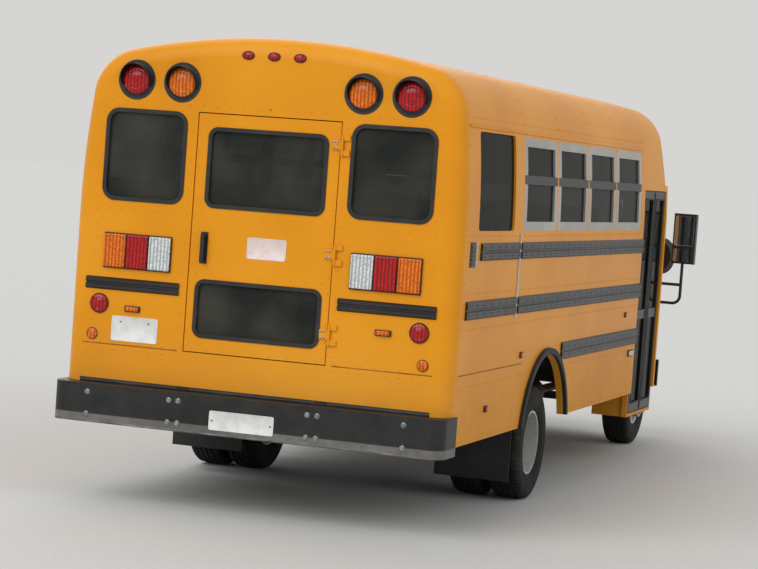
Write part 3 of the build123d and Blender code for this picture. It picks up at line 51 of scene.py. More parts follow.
def add_node(tree, kind, inputs=None, stops=(), **settings):
    """A shader node with its settings; inputs takes values and other nodes' outputs, and stops a ramp's colours."""
    made = tree.nodes.new("ShaderNode" + kind)
    for name, value in settings.items():
        setattr(made, name, value)
    for name, value in (inputs or {}).items():
        if isinstance(value, bpy.types.NodeSocket):
            tree.links.new(value, made.inputs[name])
        else:
            made.inputs[name].default_value = value
    for k, (place, colour) in enumerate(stops):
        stop = made.color_ramp.elements[k] if k < 2 else made.color_ramp.elements.new(place)
        stop.position = place
        stop.color = linear(colour)
    return made


def new_finish(name, **surface):
    """A new material, its node tree, its Principled shader set as asked, and the place on the object."""
    material = bpy.data.materials.new(name)
    material.use_nodes = True
    tree = material.node_tree
    shader = tree.nodes["Principled BSDF"]
    for socket, value in surface.items():
        shader.inputs[socket.replace("_", " ")].default_value = value
    return material, tree, shader, add_node(tree, "TexCoord").outputs["Object"]


def embossed(material, height, strength, depth):
    """Raises a finish by a height, at most by depth in metres, and hands it back."""
    tree = material.node_tree
    bump = add_node(tree, "Bump", {"Height": height, "Strength": strength, "Distance": depth})
    tree.links.new(bump.outputs["Normal"], tree.nodes["Principled BSDF"].inputs["Normal"])
    return material


def mottled(name, colours, patch_mm, grain_mm, grain_depth, **surface):
    """A finish whose colour drifts in patches and whose surface has a fine grain."""
    material, tree, shader, place = new_finish(name, **surface)
    patches = add_node(tree, "TexNoise", {"Vector": place, "Scale": 1000 / patch_mm, "Detail": 4.0, "Roughness": 0.6})
    stops = [(0.3 + 0.4 * k / (len(colours) - 1), colour) for k, colour in enumerate(colours)]
    drift = add_node(tree, "ValToRGB", {"Fac": patches.outputs["Fac"]}, stops=stops)
    tree.links.new(drift.outputs["Color"], shader.inputs["Base Color"])
    grain = add_node(tree, "TexNoise", {"Vector": place, "Scale": 1000 / grain_mm, "Detail": 2.0})
    return embossed(material, grain.outputs["Fac"], 0.35, grain_depth / 1000)


def dress(material, *nodes):
    """Gives CAD nodes their real finish."""
    for node in nodes:
        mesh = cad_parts[node].data
        mesh.materials.clear()
        mesh.materials.append(material)


# Black chassis paint: brushed on thick over pressings, so it is half gloss with dusty patches.
chassis_paint = mottled(
    "chassis_paint", ("#141414", "#1d1c1b", "#302c28"), 260, 3.5, 0.3, Roughness=0.62, Specular_IOR_Level=0.4
)
dress(chassis_paint, "chassis_frame", "front_axle", "fuel_tank")

# Running gear. Leaf springs, a banjo rear axle with its driveshaft, the engine and its gearbox:
# grey iron and forged steel, oily where it turns and brown with rust elsewhere.

cast_iron = mottled("cast_iron", ("#1f1c1a", "#2c2825", "#4a3a30"), 130, 2.2, 0.6, Roughness=0.7, Metallic=0.35)
dress(cast_iron, "rear_driveline", "engine", "knuckle_left", "knuckle_right")

spring_steel = mottled("spring_steel", ("#1a1716", "#241f1c", "#3d2f27"), 90, 2.0, 0.3, Roughness=0.6, Metallic=0.4)
dress(spring_steel, "leaf_springs")

# Exhaust. Aluminised steel tube, hung under the right rail, that heat and road salt have
# dulled to a brown grey.

exhaust_steel = mottled(
    "exhaust_steel", ("#4c4640", "#6a6158", "#867a6c"), 180, 1.6, 0.15, Roughness=0.48, Metallic=0.85
)
dress(exhaust_steel, "exhaust")

# Spring clips. Bent round bars that clamp each leaf spring to the axle over a plate and a
# saddle, with a nut on each end.

tyre_radius = 0.372
rear_axle_y = -1.24
front_axle_y = 2.8


def only(piece):
    """Selects one piece and makes it the active one."""
    bpy.ops.object.select_all(action="DESELECT")
    bpy.context.view_layer.objects.active = piece
    piece.select_set(True)


def turned(name, steps, sides=48):
    """A round piece about Z, drawn out ring by ring through (radius, height) steps, and closed."""
    radius, height = steps[0]
    bpy.ops.mesh.primitive_circle_add(vertices=sides, radius=radius)
    piece = bpy.context.object
    piece.name = name
    bpy.ops.object.mode_set(mode="EDIT")
    bpy.ops.mesh.select_all(action="SELECT")
    bpy.ops.transform.translate(value=(0, 0, height))
    for wide, high in steps[1:]:
        bpy.ops.mesh.extrude_edges_move(TRANSFORM_OT_translate={"value": (0, 0, high - height)})
        share = max(wide, 1e-5) / radius
        bpy.ops.transform.resize(value=(share, share, 1), center_override=(0, 0, 0))
        radius, height = max(wide, 1e-5), high
    bpy.ops.mesh.select_all(action="SELECT")
    bpy.ops.mesh.remove_doubles(threshold=1e-4)
    bpy.ops.mesh.fill_holes(sides=0)
    bpy.ops.mesh.select_all(action="SELECT")
    bpy.ops.mesh.normals_make_consistent(inside=False)
    bpy.ops.object.mode_set(mode="OBJECT")
    return piece


def block(name, low, high, ease=0.002, segments=2):
    """A pressed or moulded block between two corners, with its edges eased."""
    low, high = Vector(low), Vector(high)
    bpy.ops.mesh.primitive_cube_add(size=1, location=(low + high) / 2, scale=high - low)
    piece = bpy.context.object
    piece.name = name
    bpy.ops.object.transform_apply(location=True, rotation=True, scale=True)
    soften(piece, ease, segments)
    return piece


def soften(piece, width, segments=2):
    """Bevels a piece's sharp edges."""
    bevel = piece.modifiers.new("eased", "BEVEL")
    bevel.width = width
    bevel.segments = segments
    bevel.angle_limit = math.radians(40)
    settle(piece)


def settle(piece):
    """Applies a piece's modifiers in order."""
    only(piece)
    for modifier in list(piece.modifiers):
        bpy.ops.object.modifier_apply(modifier=modifier.name)


def copied(piece, placing=None, name=None):
    """A copy of a piece with its own mesh, moved by a matrix, and turned right side out if mirrored."""
    twin = piece.copy()
    twin.data = piece.data.copy()
    bpy.context.scene.collection.objects.link(twin)
    twin.name = name or piece.name + "_copy"
    if placing is not None:
        twin.data.transform(placing)
        if placing.determinant() < 0:
            twin.data.flip_normals()
    return twin


def joined(name, pieces):
    """Several pieces made one mesh."""
    bpy.ops.object.select_all(action="DESELECT")
    for piece in pieces:
        piece.select_set(True)
    bpy.context.view_layer.objects.active = pieces[0]
    bpy.ops.object.join()
    pieces[0].name = name
    pieces[0].data.name = name
    return pieces[0]


def fitted(piece, body, material, smooth=35):
    """The last step for a piece: its finish, its smooth faces and the body that it rides on."""
    piece.data.materials.clear()
    piece.data.materials.append(material)
    only(piece)
    bpy.ops.object.shade_smooth_by_angle(angle=math.radians(smooth))
    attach(piece, body)
    return piece


def tube(name, points, radius, sides=10, round_off=True):
    """A bent bar or pipe along points, its ends closed."""
    line = bpy.data.curves.new(name, "CURVE")
    line.dimensions = "3D"
    run = line.splines.new("NURBS" if round_off else "POLY")
    run.points.add(len(points) - 1)
    for stop, point in zip(run.points, points):
        stop.co = (*point, 1)
    if round_off:
        run.order_u = 3
        run.use_endpoint_u = True
        run.resolution_u = 6
    line.bevel_depth = radius
    line.bevel_resolution = max(0, sides // 2 - 2)
    line.use_fill_caps = True
    piece = bpy.data.objects.new(name, line)
    bpy.context.scene.collection.objects.link(piece)
    only(piece)
    bpy.ops.object.convert(target="MESH")
    return bpy.context.object


mirror_x = Matrix.Diagonal((-1, 1, 1, 1))
spring_x = 0.43
clip_nut = turned("clip_nut", [(0.014, 0.3), (0.015, 0.302), (0.015, 0.314), (0.013, 0.316), (0, 0.316)], 6)
clip_bars = []
for y in (rear_axle_y - 0.07, rear_axle_y + 0.07):
    for x in (spring_x - 0.043, spring_x + 0.043):
        clip_bars.append(tube("clip_bar", [(x, y, 0.29), (x, y, 0.4), (x, y, 0.485)], 0.008, 8))
        clip_bars.append(copied(clip_nut, Matrix.Translation((x, y, 0))))
    clip_bars.append(block("clip_plate", (spring_x - 0.06, y - 0.012, 0.478), (spring_x + 0.06, y + 0.012, 0.49)))
clip_bars.append(
    block("clip_saddle", (spring_x - 0.06, rear_axle_y - 0.095, 0.298), (spring_x + 0.06, rear_axle_y + 0.095, 0.31))
)
right_clips = joined("spring_clips_right", clip_bars)
left_clips = copied(right_clips, mirror_x, "spring_clips_left")
fitted(joined("spring_clips", [right_clips, left_clips]), "chassis", spring_steel)

# Tyres. Moulded rubber over steel cords, four ribs with slots across the outer two and the
# shoulders. The tread is worn matt and the sidewalls hold grey road dust.

hands = ((-1, "left"), (1, "right"))
front_wheel_x = 0.87
dual_x = 0.91
dual_half_spacing = 0.133
block_pitches = 64
slot_share = 0.22
tyre_steps = (
    (0.0140, 0.3640),
    (0.0220, 0.3640),
    (0.0240, 0.3718),
    (0.0500, 0.3712),
    (0.0520, 0.3630),
    (0.0600, 0.3630),
    (0.0620, 0.3702),
    (0.0840, 0.3665),
    (0.0930, 0.3600),
    (0.0985, 0.3500),
    (0.1030, 0.3380),
    (0.1050, 0.3280),
    (0.1068, 0.3275),
    (0.1068, 0.3215),
    (0.1060, 0.3210),
    (0.1072, 0.2980),
    (0.1068, 0.2720),
    (0.1050, 0.2530),
    (0.1062, 0.2520),
    (0.1060, 0.2470),
    (0.1040, 0.2465),
    (0.1000, 0.2300),
    (0.0950, 0.2180),
    (0.0895, 0.2120),
    (0.0880, 0.2085),
)

bpy.ops.mesh.primitive_cylinder_add(
    vertices=2 * block_pitches, radius=tyre_radius, depth=0.024, end_fill_type="NOTHING", rotation=(0, math.pi / 2, 0)
)
tyre_form = bpy.context.object
tyre_form.name = "tyre_form"
bpy.ops.object.transform_apply(location=True, rotation=True, scale=True)


def choose(kind, test):
    """In edit mode, selects the VERT, EDGE or FACE items of the piece that pass the test."""
    bpy.ops.mesh.select_mode(type=kind)
    bpy.ops.mesh.select_all(action="DESELECT")
    form = bmesh.from_edit_mesh(bpy.context.object.data)
    for item in {"VERT": form.verts, "EDGE": form.edges, "FACE": form.faces}[kind]:
        if test(item):
            item.select_set(True)
    form.select_flush_mode()
    bmesh.update_edit_mesh(bpy.context.object.data)


def pitch_place(point):
    """How far round the tyre a point is, counted in half pitches."""
    return math.atan2(point.z, point.y) / (2 * math.pi) * 2 * block_pitches


def in_slot(face):
    """Whether a face of the tread lies in one of the slots across it."""
    middle = face.calc_center_median()
    if abs(middle.x) < 0.026 or math.hypot(middle.y, middle.z) < 0.345 or 0.049 < abs(middle.x) < 0.063:
        return False
    shares = sorted(abs(pitch_place(v.co) - pitch_place(face.verts[0].co)) % (2 * block_pitches) for v in face.verts)
    return 0.1 < min(max(shares), 2 * block_pitches - max(shares)) < 2 * slot_share + 0.2


bpy.ops.object.mode_set(mode="EDIT")
choose("VERT", lambda v: round(pitch_place(v.co)) % 2 == 0)
narrowing = (1 - 2 * slot_share) * math.pi / block_pitches
form = bmesh.from_edit_mesh(tyre_form.data)
for vert in form.verts:
    if vert.select:
        vert.co = Matrix.Rotation(-narrowing, 3, "X") @ vert.co
bmesh.update_edit_mesh(tyre_form.data)
choose("EDGE", lambda e: e.is_boundary)
half, radius = 0.012, tyre_radius
for next_half, next_radius in tyre_steps:
    bpy.ops.mesh.extrude_edges_move()
    share = next_radius / radius
    bpy.ops.transform.resize(value=(next_half / half, share, share), center_override=(0, 0, 0))
    half, radius = next_half, next_radius
bpy.ops.mesh.bridge_edge_loops()
choose("FACE", in_slot)
bpy.ops.mesh.extrude_region_shrink_fatten(TRANSFORM_OT_shrink_fatten={"value": 0.0})
bpy.ops.transform.resize(value=(0.99, 0.983, 0.983), center_override=(0, 0, 0))
bpy.ops.mesh.select_all(action="SELECT")
bpy.ops.mesh.normals_make_consistent(inside=False)
bpy.ops.object.mode_set(mode="OBJECT")


def tyre_finish():
    """Vulcanised rubber: matt black, with patches of grey dust."""
    material, tree, shader, place = new_finish("tyre_rubber", Roughness=0.82, Specular_IOR_Level=0.32)
    patches = add_node(tree, "TexNoise", {"Vector": place, "Scale": 9.0, "Detail": 6.0, "Roughness": 0.65})
    rubber = add_node(
        tree,
        "ValToRGB",
        {"Fac": patches.outputs["Fac"]},
        stops=((0.32, "#131313"), (0.52, "#1c1b1a"), (0.72, "#34312c")),
    )
    tree.links.new(rubber.outputs["Color"], shader.inputs["Base Color"])
    grit = add_node(tree, "TexNoise", {"Vector": place, "Scale": 420.0, "Detail": 2.0})
    return embossed(material, grit.outputs["Fac"], 0.4, 0.0004)


tyre_rubber = tyre_finish()
for side, hand in hands:
    front = copied(
        tyre_form, Matrix.Translation((side * front_wheel_x, front_axle_y, tyre_radius)), "tread_tyre_front_" + hand
    )
    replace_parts(fitted(front, "front_wheel_" + hand, tyre_rubber, 32), "front_tyre_" + hand)
    pair = [
        copied(tyre_form, Matrix.Translation((side * (dual_x + way * dual_half_spacing), rear_axle_y, tyre_radius)))
        for way in (-1, 1)
    ]
    pair = joined("tread_tyres_rear_" + hand, pair)
    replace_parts(fitted(pair, "rear_wheels_" + hand, tyre_rubber, 32), "rear_tyres_" + hand)
bpy.data.objects.remove(tyre_form)

# Wheels. Steel discs pressed and welded into their rims, sprayed silver grey, with brake dust and
# painted shade in the dish; eight plated nuts hold each disc, with a valve stem beside them.


def wheel_enamel(name, axle_y):
    """Sprayed steel disc: silver grey, darker round the hub and the hand holes with brake dust and painted shade of the
    dish, its bead edge clean.
    """
    material, tree, shader, place = new_finish(name, Roughness=0.42, Metallic=0.1)
    centred = add_node(tree, "Mapping", {"Vector": place, "Location": (0, -axle_y, -tyre_radius), "Scale": (0, 1, 1)})
    reach = add_node(tree, "VectorMath", {0: centred.outputs["Vector"]}, operation="LENGTH")
    smears = add_node(tree, "TexNoise", {"Vector": place, "Scale": 28.0, "Detail": 5.0, "Roughness": 0.65})
    drift = add_node(
        tree,
        "Math",
        {0: smears.outputs["Fac"], 1: 0.05, 2: reach.outputs["Value"]},
        operation="MULTIPLY_ADD",
    )
    share = add_node(tree, "MapRange", {"Value": drift.outputs["Value"], "From Min": 0.025, "From Max": 0.24})
    # darker towards the hub: brake dust, and painted shade where the dish lies deep
    dust_and_dish_shade = add_node(
        tree,
        "ValToRGB",
        {"Fac": share.outputs["Result"]},
        stops=(
            (0.25, "#4b4843"),
            (0.5, "#8f8d89"),
            (0.62, "#a9a8a5"),
            (0.74, "#84817c"),
            (0.86, "#b4b3b0"),
            (1.0, "#c9c8c5"),
        ),
    )
    tree.links.new(dust_and_dish_shade.outputs["Color"], shader.inputs["Base Color"])
    grain = add_node(tree, "TexNoise", {"Vector": place, "Scale": 800.0, "Detail": 2.0})
    return embossed(material, grain.outputs["Fac"], 0.3, 0.00005)


dress(wheel_enamel("front_wheel_enamel", front_axle_y), "front_rim_left", "front_rim_right")
dress(wheel_enamel("rear_wheel_enamel", rear_axle_y), "rear_rims_left", "rear_rims_right")

zinc_plate = mottled("zinc_plate", ("#6d6f70", "#8d9091", "#a7aaab"), 20, 0.8, 0.03, Roughness=0.35, Metallic=0.9)
nut_count = 8
nut_circle = 0.116
valve_circle = 0.168
hub_cover_x = 1.023
nut_form = turned(
    "nut_form",
    [
        (0.019, 0),
        (0.019, 0.003),
        (0.0155, 0.004),
        (0.0155, 0.017),
        (0.0135, 0.02),
        (0.007, 0.021),
        (0.007, 0.03),
        (0.0055, 0.032),
        (0, 0.032),
    ],
    6,
)


def nut_ring(x, y, way):
    """The nuts round one disc, whose face is at x and looks along way."""
    turn = Matrix.Rotation(way * math.pi / 2, 4, "Y")
    ring = []
    for k in range(nut_count):
        angle = 2 * math.pi * (k + 0.5) / nut_count
        place = (x, y + nut_circle * math.cos(angle), tyre_radius + nut_circle * math.sin(angle))
        ring.append(copied(nut_form, Matrix.Translation(place) @ turn))
    stem_z = tyre_radius + valve_circle
    bends = ((-0.05, stem_z), (-0.01, stem_z), (0.012, stem_z - 0.012))
    ring.append(tube("valve", [(x + way * out, y, z) for out, z in bends], 0.0045, 8))
    return ring


for side, hand in hands:
    front_face = side * (front_wheel_x + dual_half_spacing)
    nuts = joined("wheel_nuts_front_" + hand, nut_ring(front_face, front_axle_y, side))
    fitted(nuts, "front_wheel_" + hand, zinc_plate)
    nuts = joined("wheel_nuts_rear_" + hand, nut_ring(side * (dual_x + 0.0102), rear_axle_y, side))
    fitted(nuts, "rear_wheels_" + hand, zinc_plate)
    hub_cover = turned(
        "hub_cover",
        [
            (0.079, 0),
            (0.084, 0.004),
            (0.084, 0.012),
            (0.07, 0.016),
            (0.052, 0.018),
            (0.05, 0.034),
            (0.042, 0.04),
            (0, 0.042),
        ],
        40,
    )
    turn = Matrix.Rotation(side * math.pi / 2, 4, "Y")
    cover = copied(
        hub_cover, Matrix.Translation((side * hub_cover_x, rear_axle_y, tyre_radius)) @ turn, "hub_cover_rear_" + hand
    )
    fitted(cover, "rear_wheels_" + hand, cast_iron)
    bpy.data.objects.remove(hub_cover)
bpy.data.objects.remove(nut_form)

# Body panels. Galvanised steel sheets over pressed bows, riveted and seam sealed, then sprayed
# with the glossy orange yellow enamel of school buses, dusted grey by the road along the skirt.


def all_of(tree, tests):
    """A mask that is 1 where a value passes each of its tests."""
    mask = None
    for value, kind, limit in tests:
        passed = add_node(tree, "Math", {0: value, 1: limit}, operation=kind).outputs["Value"]
        if mask is not None:
            passed = add_node(tree, "Math", {0: mask, 1: passed}, operation="MULTIPLY").outputs["Value"]
        mask = passed
    return mask


def bus_enamel(name, lining="none"):
    """Sprayed alkyd enamel: glossy, with a faint orange peel and road dust low down. Shells are lined inside."""
    material, tree, shader, place = new_finish(name, Roughness=0.38, Specular_IOR_Level=0.14)
    fading = add_node(tree, "TexNoise", {"Vector": place, "Scale": 1.1, "Detail": 3.0})
    paint = add_node(
        tree,
        "ValToRGB",
        {"Fac": fading.outputs["Fac"]},
        stops=((0.3, "#DE8F17"), (0.5, "#E6971B"), (0.7, "#EB9F26")),
    )
    where = add_node(tree, "SeparateXYZ", {"Vector": place}).outputs
    low = add_node(
        tree,
        "MapRange",
        {"Value": where["Z"], "From Min": 0.35, "From Max": 1.1, "To Min": 0.55, "To Max": 0.0},
    )
    splash = add_node(tree, "TexNoise", {"Vector": place, "Scale": 7.0, "Detail": 8.0, "Roughness": 0.7})
    dust = add_node(tree, "Math", {0: low.outputs["Result"], 1: splash.outputs["Fac"]}, operation="MULTIPLY")
    soiled = add_node(
        tree,
        "Mix",
        {"Factor": dust.outputs["Value"], 6: paint.outputs["Color"], 7: linear("#94784e")},
        data_type="RGBA",
    ).outputs[2]
    # a face that looks back at the middle of the bus is the pale lining, and one underfoot is black rubber
    facing = add_node(tree, "SeparateXYZ", {"Vector": place.node.outputs["Normal"]}).outputs
    across, along, up = (
        add_node(tree, "Math", {0: where[axis], 1: facing[axis]}, operation="MULTIPLY").outputs["Value"]
        for axis in "XYZ"
    )
    walls = (across, "LESS_THAN", -0.8)
    linings = {
        "none": (),
        "body": (
            # the edges of the doorway's front post are outside paint up to the header
            ("#a9aaa8", (walls, (where["Y"], "LESS_THAN", 2.19))),
            ("#a9aaa8", (walls, (where["Z"], "GREATER_THAN", 2.13))),
            ("#a9aaa8", ((along, "LESS_THAN", -3.3),)),
            ("#a9aaa8", ((up, "LESS_THAN", -0.6), (where["Z"], "GREATER_THAN", 2.37))),
        ),
        "cab": (
            ("#8f908e", (walls,)),
            ("#8f908e", ((along, "LESS_THAN", -2.2),)),
            ("#26262a", ((facing["Z"], "GREATER_THAN", 0.8), (where["Z"], "LESS_THAN", 1.25))),
        ),
        "steps": (
            ("#26262a", ((facing["Z"], "GREATER_THAN", 0.8),)),
            ("#8f908e", ((facing["X"], "GREATER_THAN", 0.8), (where["X"], "LESS_THAN", 1.12))),
            ("#8f908e", ((facing["Y"], "GREATER_THAN", 0.8), (where["Y"], "LESS_THAN", 1.6))),
            ("#8f908e", ((facing["Y"], "LESS_THAN", -0.8), (where["Y"], "GREATER_THAN", 2.2))),
        ),
    }
    for colour, tests in linings[lining]:
        soiled = add_node(
            tree, "Mix", {"Factor": all_of(tree, tests), 6: soiled, 7: linear(colour)}, data_type="RGBA"
        ).outputs[2]
    tree.links.new(soiled, shader.inputs["Base Color"])
    dullness = add_node(
        tree,
        "MapRange",
        {"Value": dust.outputs["Value"], "From Min": 0.0, "From Max": 0.4, "To Min": 0.34, "To Max": 0.62},
    )
    tree.links.new(dullness.outputs["Result"], shader.inputs["Roughness"])
    # orange peel is about 3 mm across and too shallow to see except in reflections
    peel = add_node(tree, "TexNoise", {"Vector": place, "Scale": 300.0, "Detail": 1.0})
    waves = add_node(tree, "TexNoise", {"Vector": place, "Scale": 2.6, "Detail": 1.0})
    # sheet steel between its rivets is never quite flat: waves of a tenth of a millimetre
    bump = add_node(tree, "Bump", {"Height": peel.outputs["Fac"], "Strength": 0.12, "Distance": 0.0001})
    panel = add_node(
        tree,
        "Bump",
        {"Height": waves.outputs["Fac"], "Strength": 0.25, "Distance": 0.01, "Normal": bump.outputs["Normal"]},
    )
    tree.links.new(panel.outputs["Normal"], shader.inputs["Normal"])
    return material


enamel = bus_enamel("bus_enamel")
dress(enamel, "nose", "hood")
dress(bus_enamel("step_enamel", "steps"), "step_well")
dress(bus_enamel("cab_enamel", "cab"), "cab_shell", "driver_door")
dress(
    bus_enamel("lined_bus_enamel", "body"),
    "side_wall_left",
    "side_wall_right",
    "rear_wall",
    "roof",
    "front_cap",
    "rear_door",
)

# Rivets. Domed blind rivets hold the skin to its bows and stringers, in rows about 80 mm
# apart, and go under the enamel with it.

rivet_form = turned(
    "rivet_form", [(0.0068, -0.001), (0.0066, 0.0008), (0.0048, 0.0024), (0.0022, 0.0031), (0, 0.0033)], 8
)


def on_skin(node, start, way):
    """The placing on a CAD node's surface where a ray from start meets it, with Z out of the surface."""
    hit, point, normal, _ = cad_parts[node].ray_cast(Vector(start), Vector(way))
    if not hit:
        return None
    return Matrix.Translation(point) @ normal.to_track_quat("Z", "Y").to_matrix().to_4x4()


def strewn(name, form, placings):
    """One piece of many copies of a small form."""
    mesh = bmesh.new()
    for placing in placings:
        if placing is None:
            continue
        start = len(mesh.verts)
        mesh.from_mesh(form.data)
        mesh.verts.ensure_lookup_table()
        bmesh.ops.transform(mesh, matrix=placing, verts=mesh.verts[start:])
    piece = bpy.data.objects.new(name, bpy.data.meshes.new(name))
    mesh.to_mesh(piece.data)
    mesh.free()
    bpy.context.scene.collection.objects.link(piece)
    return piece


def spaced(low, high, step):
    """Places from low to high, about a step apart."""
    count = max(1, round((high - low) / step))
    return [low + (high - low) * k / count for k in range(count + 1)]


rear_y = -3.44
cap_y = 1.41
pillar_ys = [-2.103 + 0.866 * k for k in range(5)]
rivet_step = 0.08
rivets = []
for side, hand in hands:
    wall = "side_wall_" + hand
    way = (-side, 0, 0)
    front_end = cap_y - 0.06 if side < 0 else 1.44
    rows = [
        (1.735, -3.30, front_end),
        (1.40, -3.30, front_end),
        (1.195, -3.30, front_end),
        (0.545, -3.30, -1.92),
        (0.545, -0.56, front_end),
        (0.86, -0.56, front_end),
        (0.86, -3.30, -1.80),
        (2.372, -3.30, front_end),
    ]
    for z, low, high in rows:
        rivets += [on_skin(wall, (side * 1.5, y, z), way) for y in spaced(low, high, rivet_step)]
    for y in pillar_ys:
        rivets += [on_skin(wall, (side * 1.5, y, z), way) for z in spaced(1.79, 2.33, rivet_step)]
    rivets += [on_skin(wall, (side * 1.5, -3.30, z), way) for z in spaced(0.6, 2.33, rivet_step)]
for z, low, high in ((0.905, 0.5, 1.05), (0.945, 0.5, 1.05), (1.735, 0.5, 1.05), (2.375, 0.0, 1.0)):
    for side in (-1, 1):
        rivets += [on_skin("rear_wall", (side * x, -4, z), (0, 1, 0)) for x in spaced(low, high, rivet_step)]
for side in (-1, 1):
    for x in (0.478, 1.045):
        rivets += [on_skin("rear_wall", (side * x, -4, z), (0, 1, 0)) for z in spaced(0.99, 2.30, rivet_step)]
roof_ys = [-3.305] + [y + offset for y in pillar_ys[:-1] for offset in (-0.03, 0.03)] + [1.385]
for y in roof_ys:
    rivets += [on_skin("roof", (x, y, 3), (0, 0, -1)) for x in spaced(-1.05, 1.05, rivet_step)]
    for side in (-1, 1):
        rivets += [on_skin("roof", (side * 1.5, y, z), (-side, 0, 0)) for z in spaced(2.42, 2.56, rivet_step)]
for side in (-1, 1):
    rivets += [on_skin("roof", (side * 1.5, y, 2.415), (-side, 0, 0)) for y in spaced(-3.25, 1.36, rivet_step)]
rivets += [on_skin("front_cap", (x, 1.44, 3), (0, 0, -1)) for x in spaced(-1.0, 1.0, rivet_step)]
fitted(strewn("body_rivets", rivet_form, rivets), "chassis", enamel, 40)

# Gutters and laps. A rolled drip rail runs over the side windows, and low strips cover the laps of
# the roof sheets at each bow; all of it is sealed and painted with the body.


def rimmed(piece, test, *steps):
    """Insets the faces of a piece that pass the test, by each (thickness, depth) step in turn."""
    bpy.context.view_layer.objects.active = piece
    bpy.ops.object.mode_set(mode="EDIT")
    choose("FACE", test)
    for thickness, depth in steps:
        bpy.ops.mesh.inset(thickness=thickness, depth=depth)
    bpy.ops.object.mode_set(mode="OBJECT")


gutter_z = 2.362
gutters = []
for side in (-1, 1):
    middle = side * 1.1655
    gutter = block(
        "gutter_strip", (middle - 0.006, -3.30, gutter_z - 0.004), (middle + 0.006, 1.38, gutter_z + 0.012), 0.002
    )
    rimmed(gutter, lambda f: f.normal.z > 0.9, (0.0025, -0.006))
    gutters.append(gutter)
for y in pillar_ys[:-1]:
    section = []
    for x in spaced(-1.13, 1.13, 0.09):
        place = on_skin("roof", (x, y, 3), (0, 0, -1))
        if place is not None:
            section.append(place.translation - Vector((0, 0, 0.0005)))
    strip = tube("bow_lap", section, 0.0025, 8, False)
    strip.data.transform(
        Matrix.Translation((0, y, 0)) @ Matrix.Diagonal((1, 18, 1, 1)) @ Matrix.Translation((0, -y, 0))
    )
    gutters.append(strip)
fitted(joined("gutters_and_laps", gutters), "chassis", enamel, 40)

# Emergency door. A pressed steel door in a flush frame, hung on three hinges with its seams left
# dark; it has stiffening presses round both windows and a blank pale sticker.

door_rivets = []
for x in (-0.425, 0.425):
    door_rivets += [on_skin("rear_door", (x, -4, z), (0, 1, 0)) for z in spaced(0.97, 2.30, 0.095)]
for z in (0.955, 1.40, 1.752):
    door_rivets += [on_skin("rear_door", (x, -4, z), (0, 1, 0)) for x in spaced(-0.39, 0.39, 0.098)]
fitted(strewn("rear_door_rivets", rivet_form, door_rivets), "rear_door", enamel, 40)
bpy.data.objects.remove(rivet_form)

hinge_screws = turned("hinge_screws", [(0.007, 0), (0.0068, 0.002), (0.004, 0.0035), (0, 0.004)], 10)
screw_places = []
for z in (1.11, 1.57, 2.20):
    for x in (0.405, 0.425):
        for dz in (-0.018, 0.018):
            screw_places.append(on_skin("rear_door", (x, -4, z + dz), (0, 1, 0)))
fitted(strewn("rear_hinge_screws", hinge_screws, screw_places), "rear_door", zinc_plate)


def sheet_plate(name, middle, size, corner, thickness):
    """A flat blank plate across the bus's back, with rounded corners and a raised rim; middle is on its back face."""
    bpy.ops.mesh.primitive_plane_add(size=1, location=middle, rotation=(math.pi / 2, 0, 0))
    plate = bpy.context.object
    plate.name = name
    plate.scale = (size[0], size[1], 1)
    bpy.ops.object.transform_apply(location=True, rotation=True, scale=True)
    bpy.ops.object.mode_set(mode="EDIT")
    bpy.ops.mesh.select_all(action="SELECT")
    bpy.ops.mesh.bevel(offset=corner, segments=5, affect="VERTICES")
    bpy.ops.mesh.select_all(action="SELECT")
    bpy.ops.mesh.extrude_region_move(TRANSFORM_OT_translate={"value": (0, -thickness, 0)})
    bpy.ops.mesh.inset(thickness=0.006, depth=0)
    bpy.ops.mesh.inset(thickness=0.0015, depth=-thickness * 0.4)
    bpy.ops.mesh.select_all(action="SELECT")
    bpy.ops.mesh.normals_make_consistent(inside=False)
    bpy.ops.object.mode_set(mode="OBJECT")
    return plate


plate_white = mottled("plate_enamel", ("#c9c8c4", "#dcdbd7", "#e6e5e1"), 90, 1.0, 0.03, Roughness=0.35)
sticker_film = mottled("sticker_film", ("#d9c3b9", "#e2cfc8", "#e8dad6"), 70, 1.0, 0.02, Roughness=0.3)
sticker = sheet_plate("door_sticker", (0.034, -3.4375, 1.568), (0.243, 0.125), 0.014, 0.0022)
fitted(sticker, "rear_door", sticker_film)

# Number plates. A blank embossed aluminium plate left of the door, screwed on, and a longer blank
# plate bolted to the bumper.

number_plate = sheet_plate("number_plate", (-0.76, rear_y - 0.0005, 1.030), (0.296, 0.148), 0.014, 0.0025)
fitted(number_plate, "chassis", plate_white)
bumper_plate = sheet_plate("bumper_plate", (0, -3.5605, 0.561), (0.40, 0.112), 0.012, 0.0025)
fitted(bumper_plate, "chassis", plate_white)
facing_back = Matrix.Rotation(math.pi / 2, 4, "X")
plate_screws = [
    Matrix.Translation((x, y, z)) @ facing_back
    for x, y, z in (
        (-0.849, rear_y - 0.002, 1.072),
        (-0.671, rear_y - 0.002, 1.072),
        (-0.18, -3.562, 0.561),
        (0.18, -3.562, 0.561),
    )
]
fitted(strewn("plate_screws", hinge_screws, plate_screws), "chassis", zinc_plate)

# Bumpers. Bent steel channel, bolted to the rails with a pair of bolts at each bracket; the
# lower lip of the rear one is pale grey, a painted reflection of the floor.

# the rear bumper's lip is grey as a painted reflection of the pale floor
lip_reflection_grey = mottled("lip_painted_reflection", ("#3c3c3c", "#5b5b5a", "#7b7a78"), 120, 1.2, 0.08, Roughness=0.5, Metallic=0.3)
bumper_lip = tube(
    "rear_bumper_lip",
    [(-1.206, -3.30, 0.478), (-1.206, -3.46, 0.478), (-1.19, -3.548, 0.478), (-1.09, -3.556, 0.478), (0, -3.556, 0.478)]
    + [(1.09, -3.556, 0.478), (1.19, -3.548, 0.478), (1.206, -3.46, 0.478), (1.206, -3.30, 0.478)],
    0.0065,
    8,
)
fitted(bumper_lip, "chassis", lip_reflection_grey)

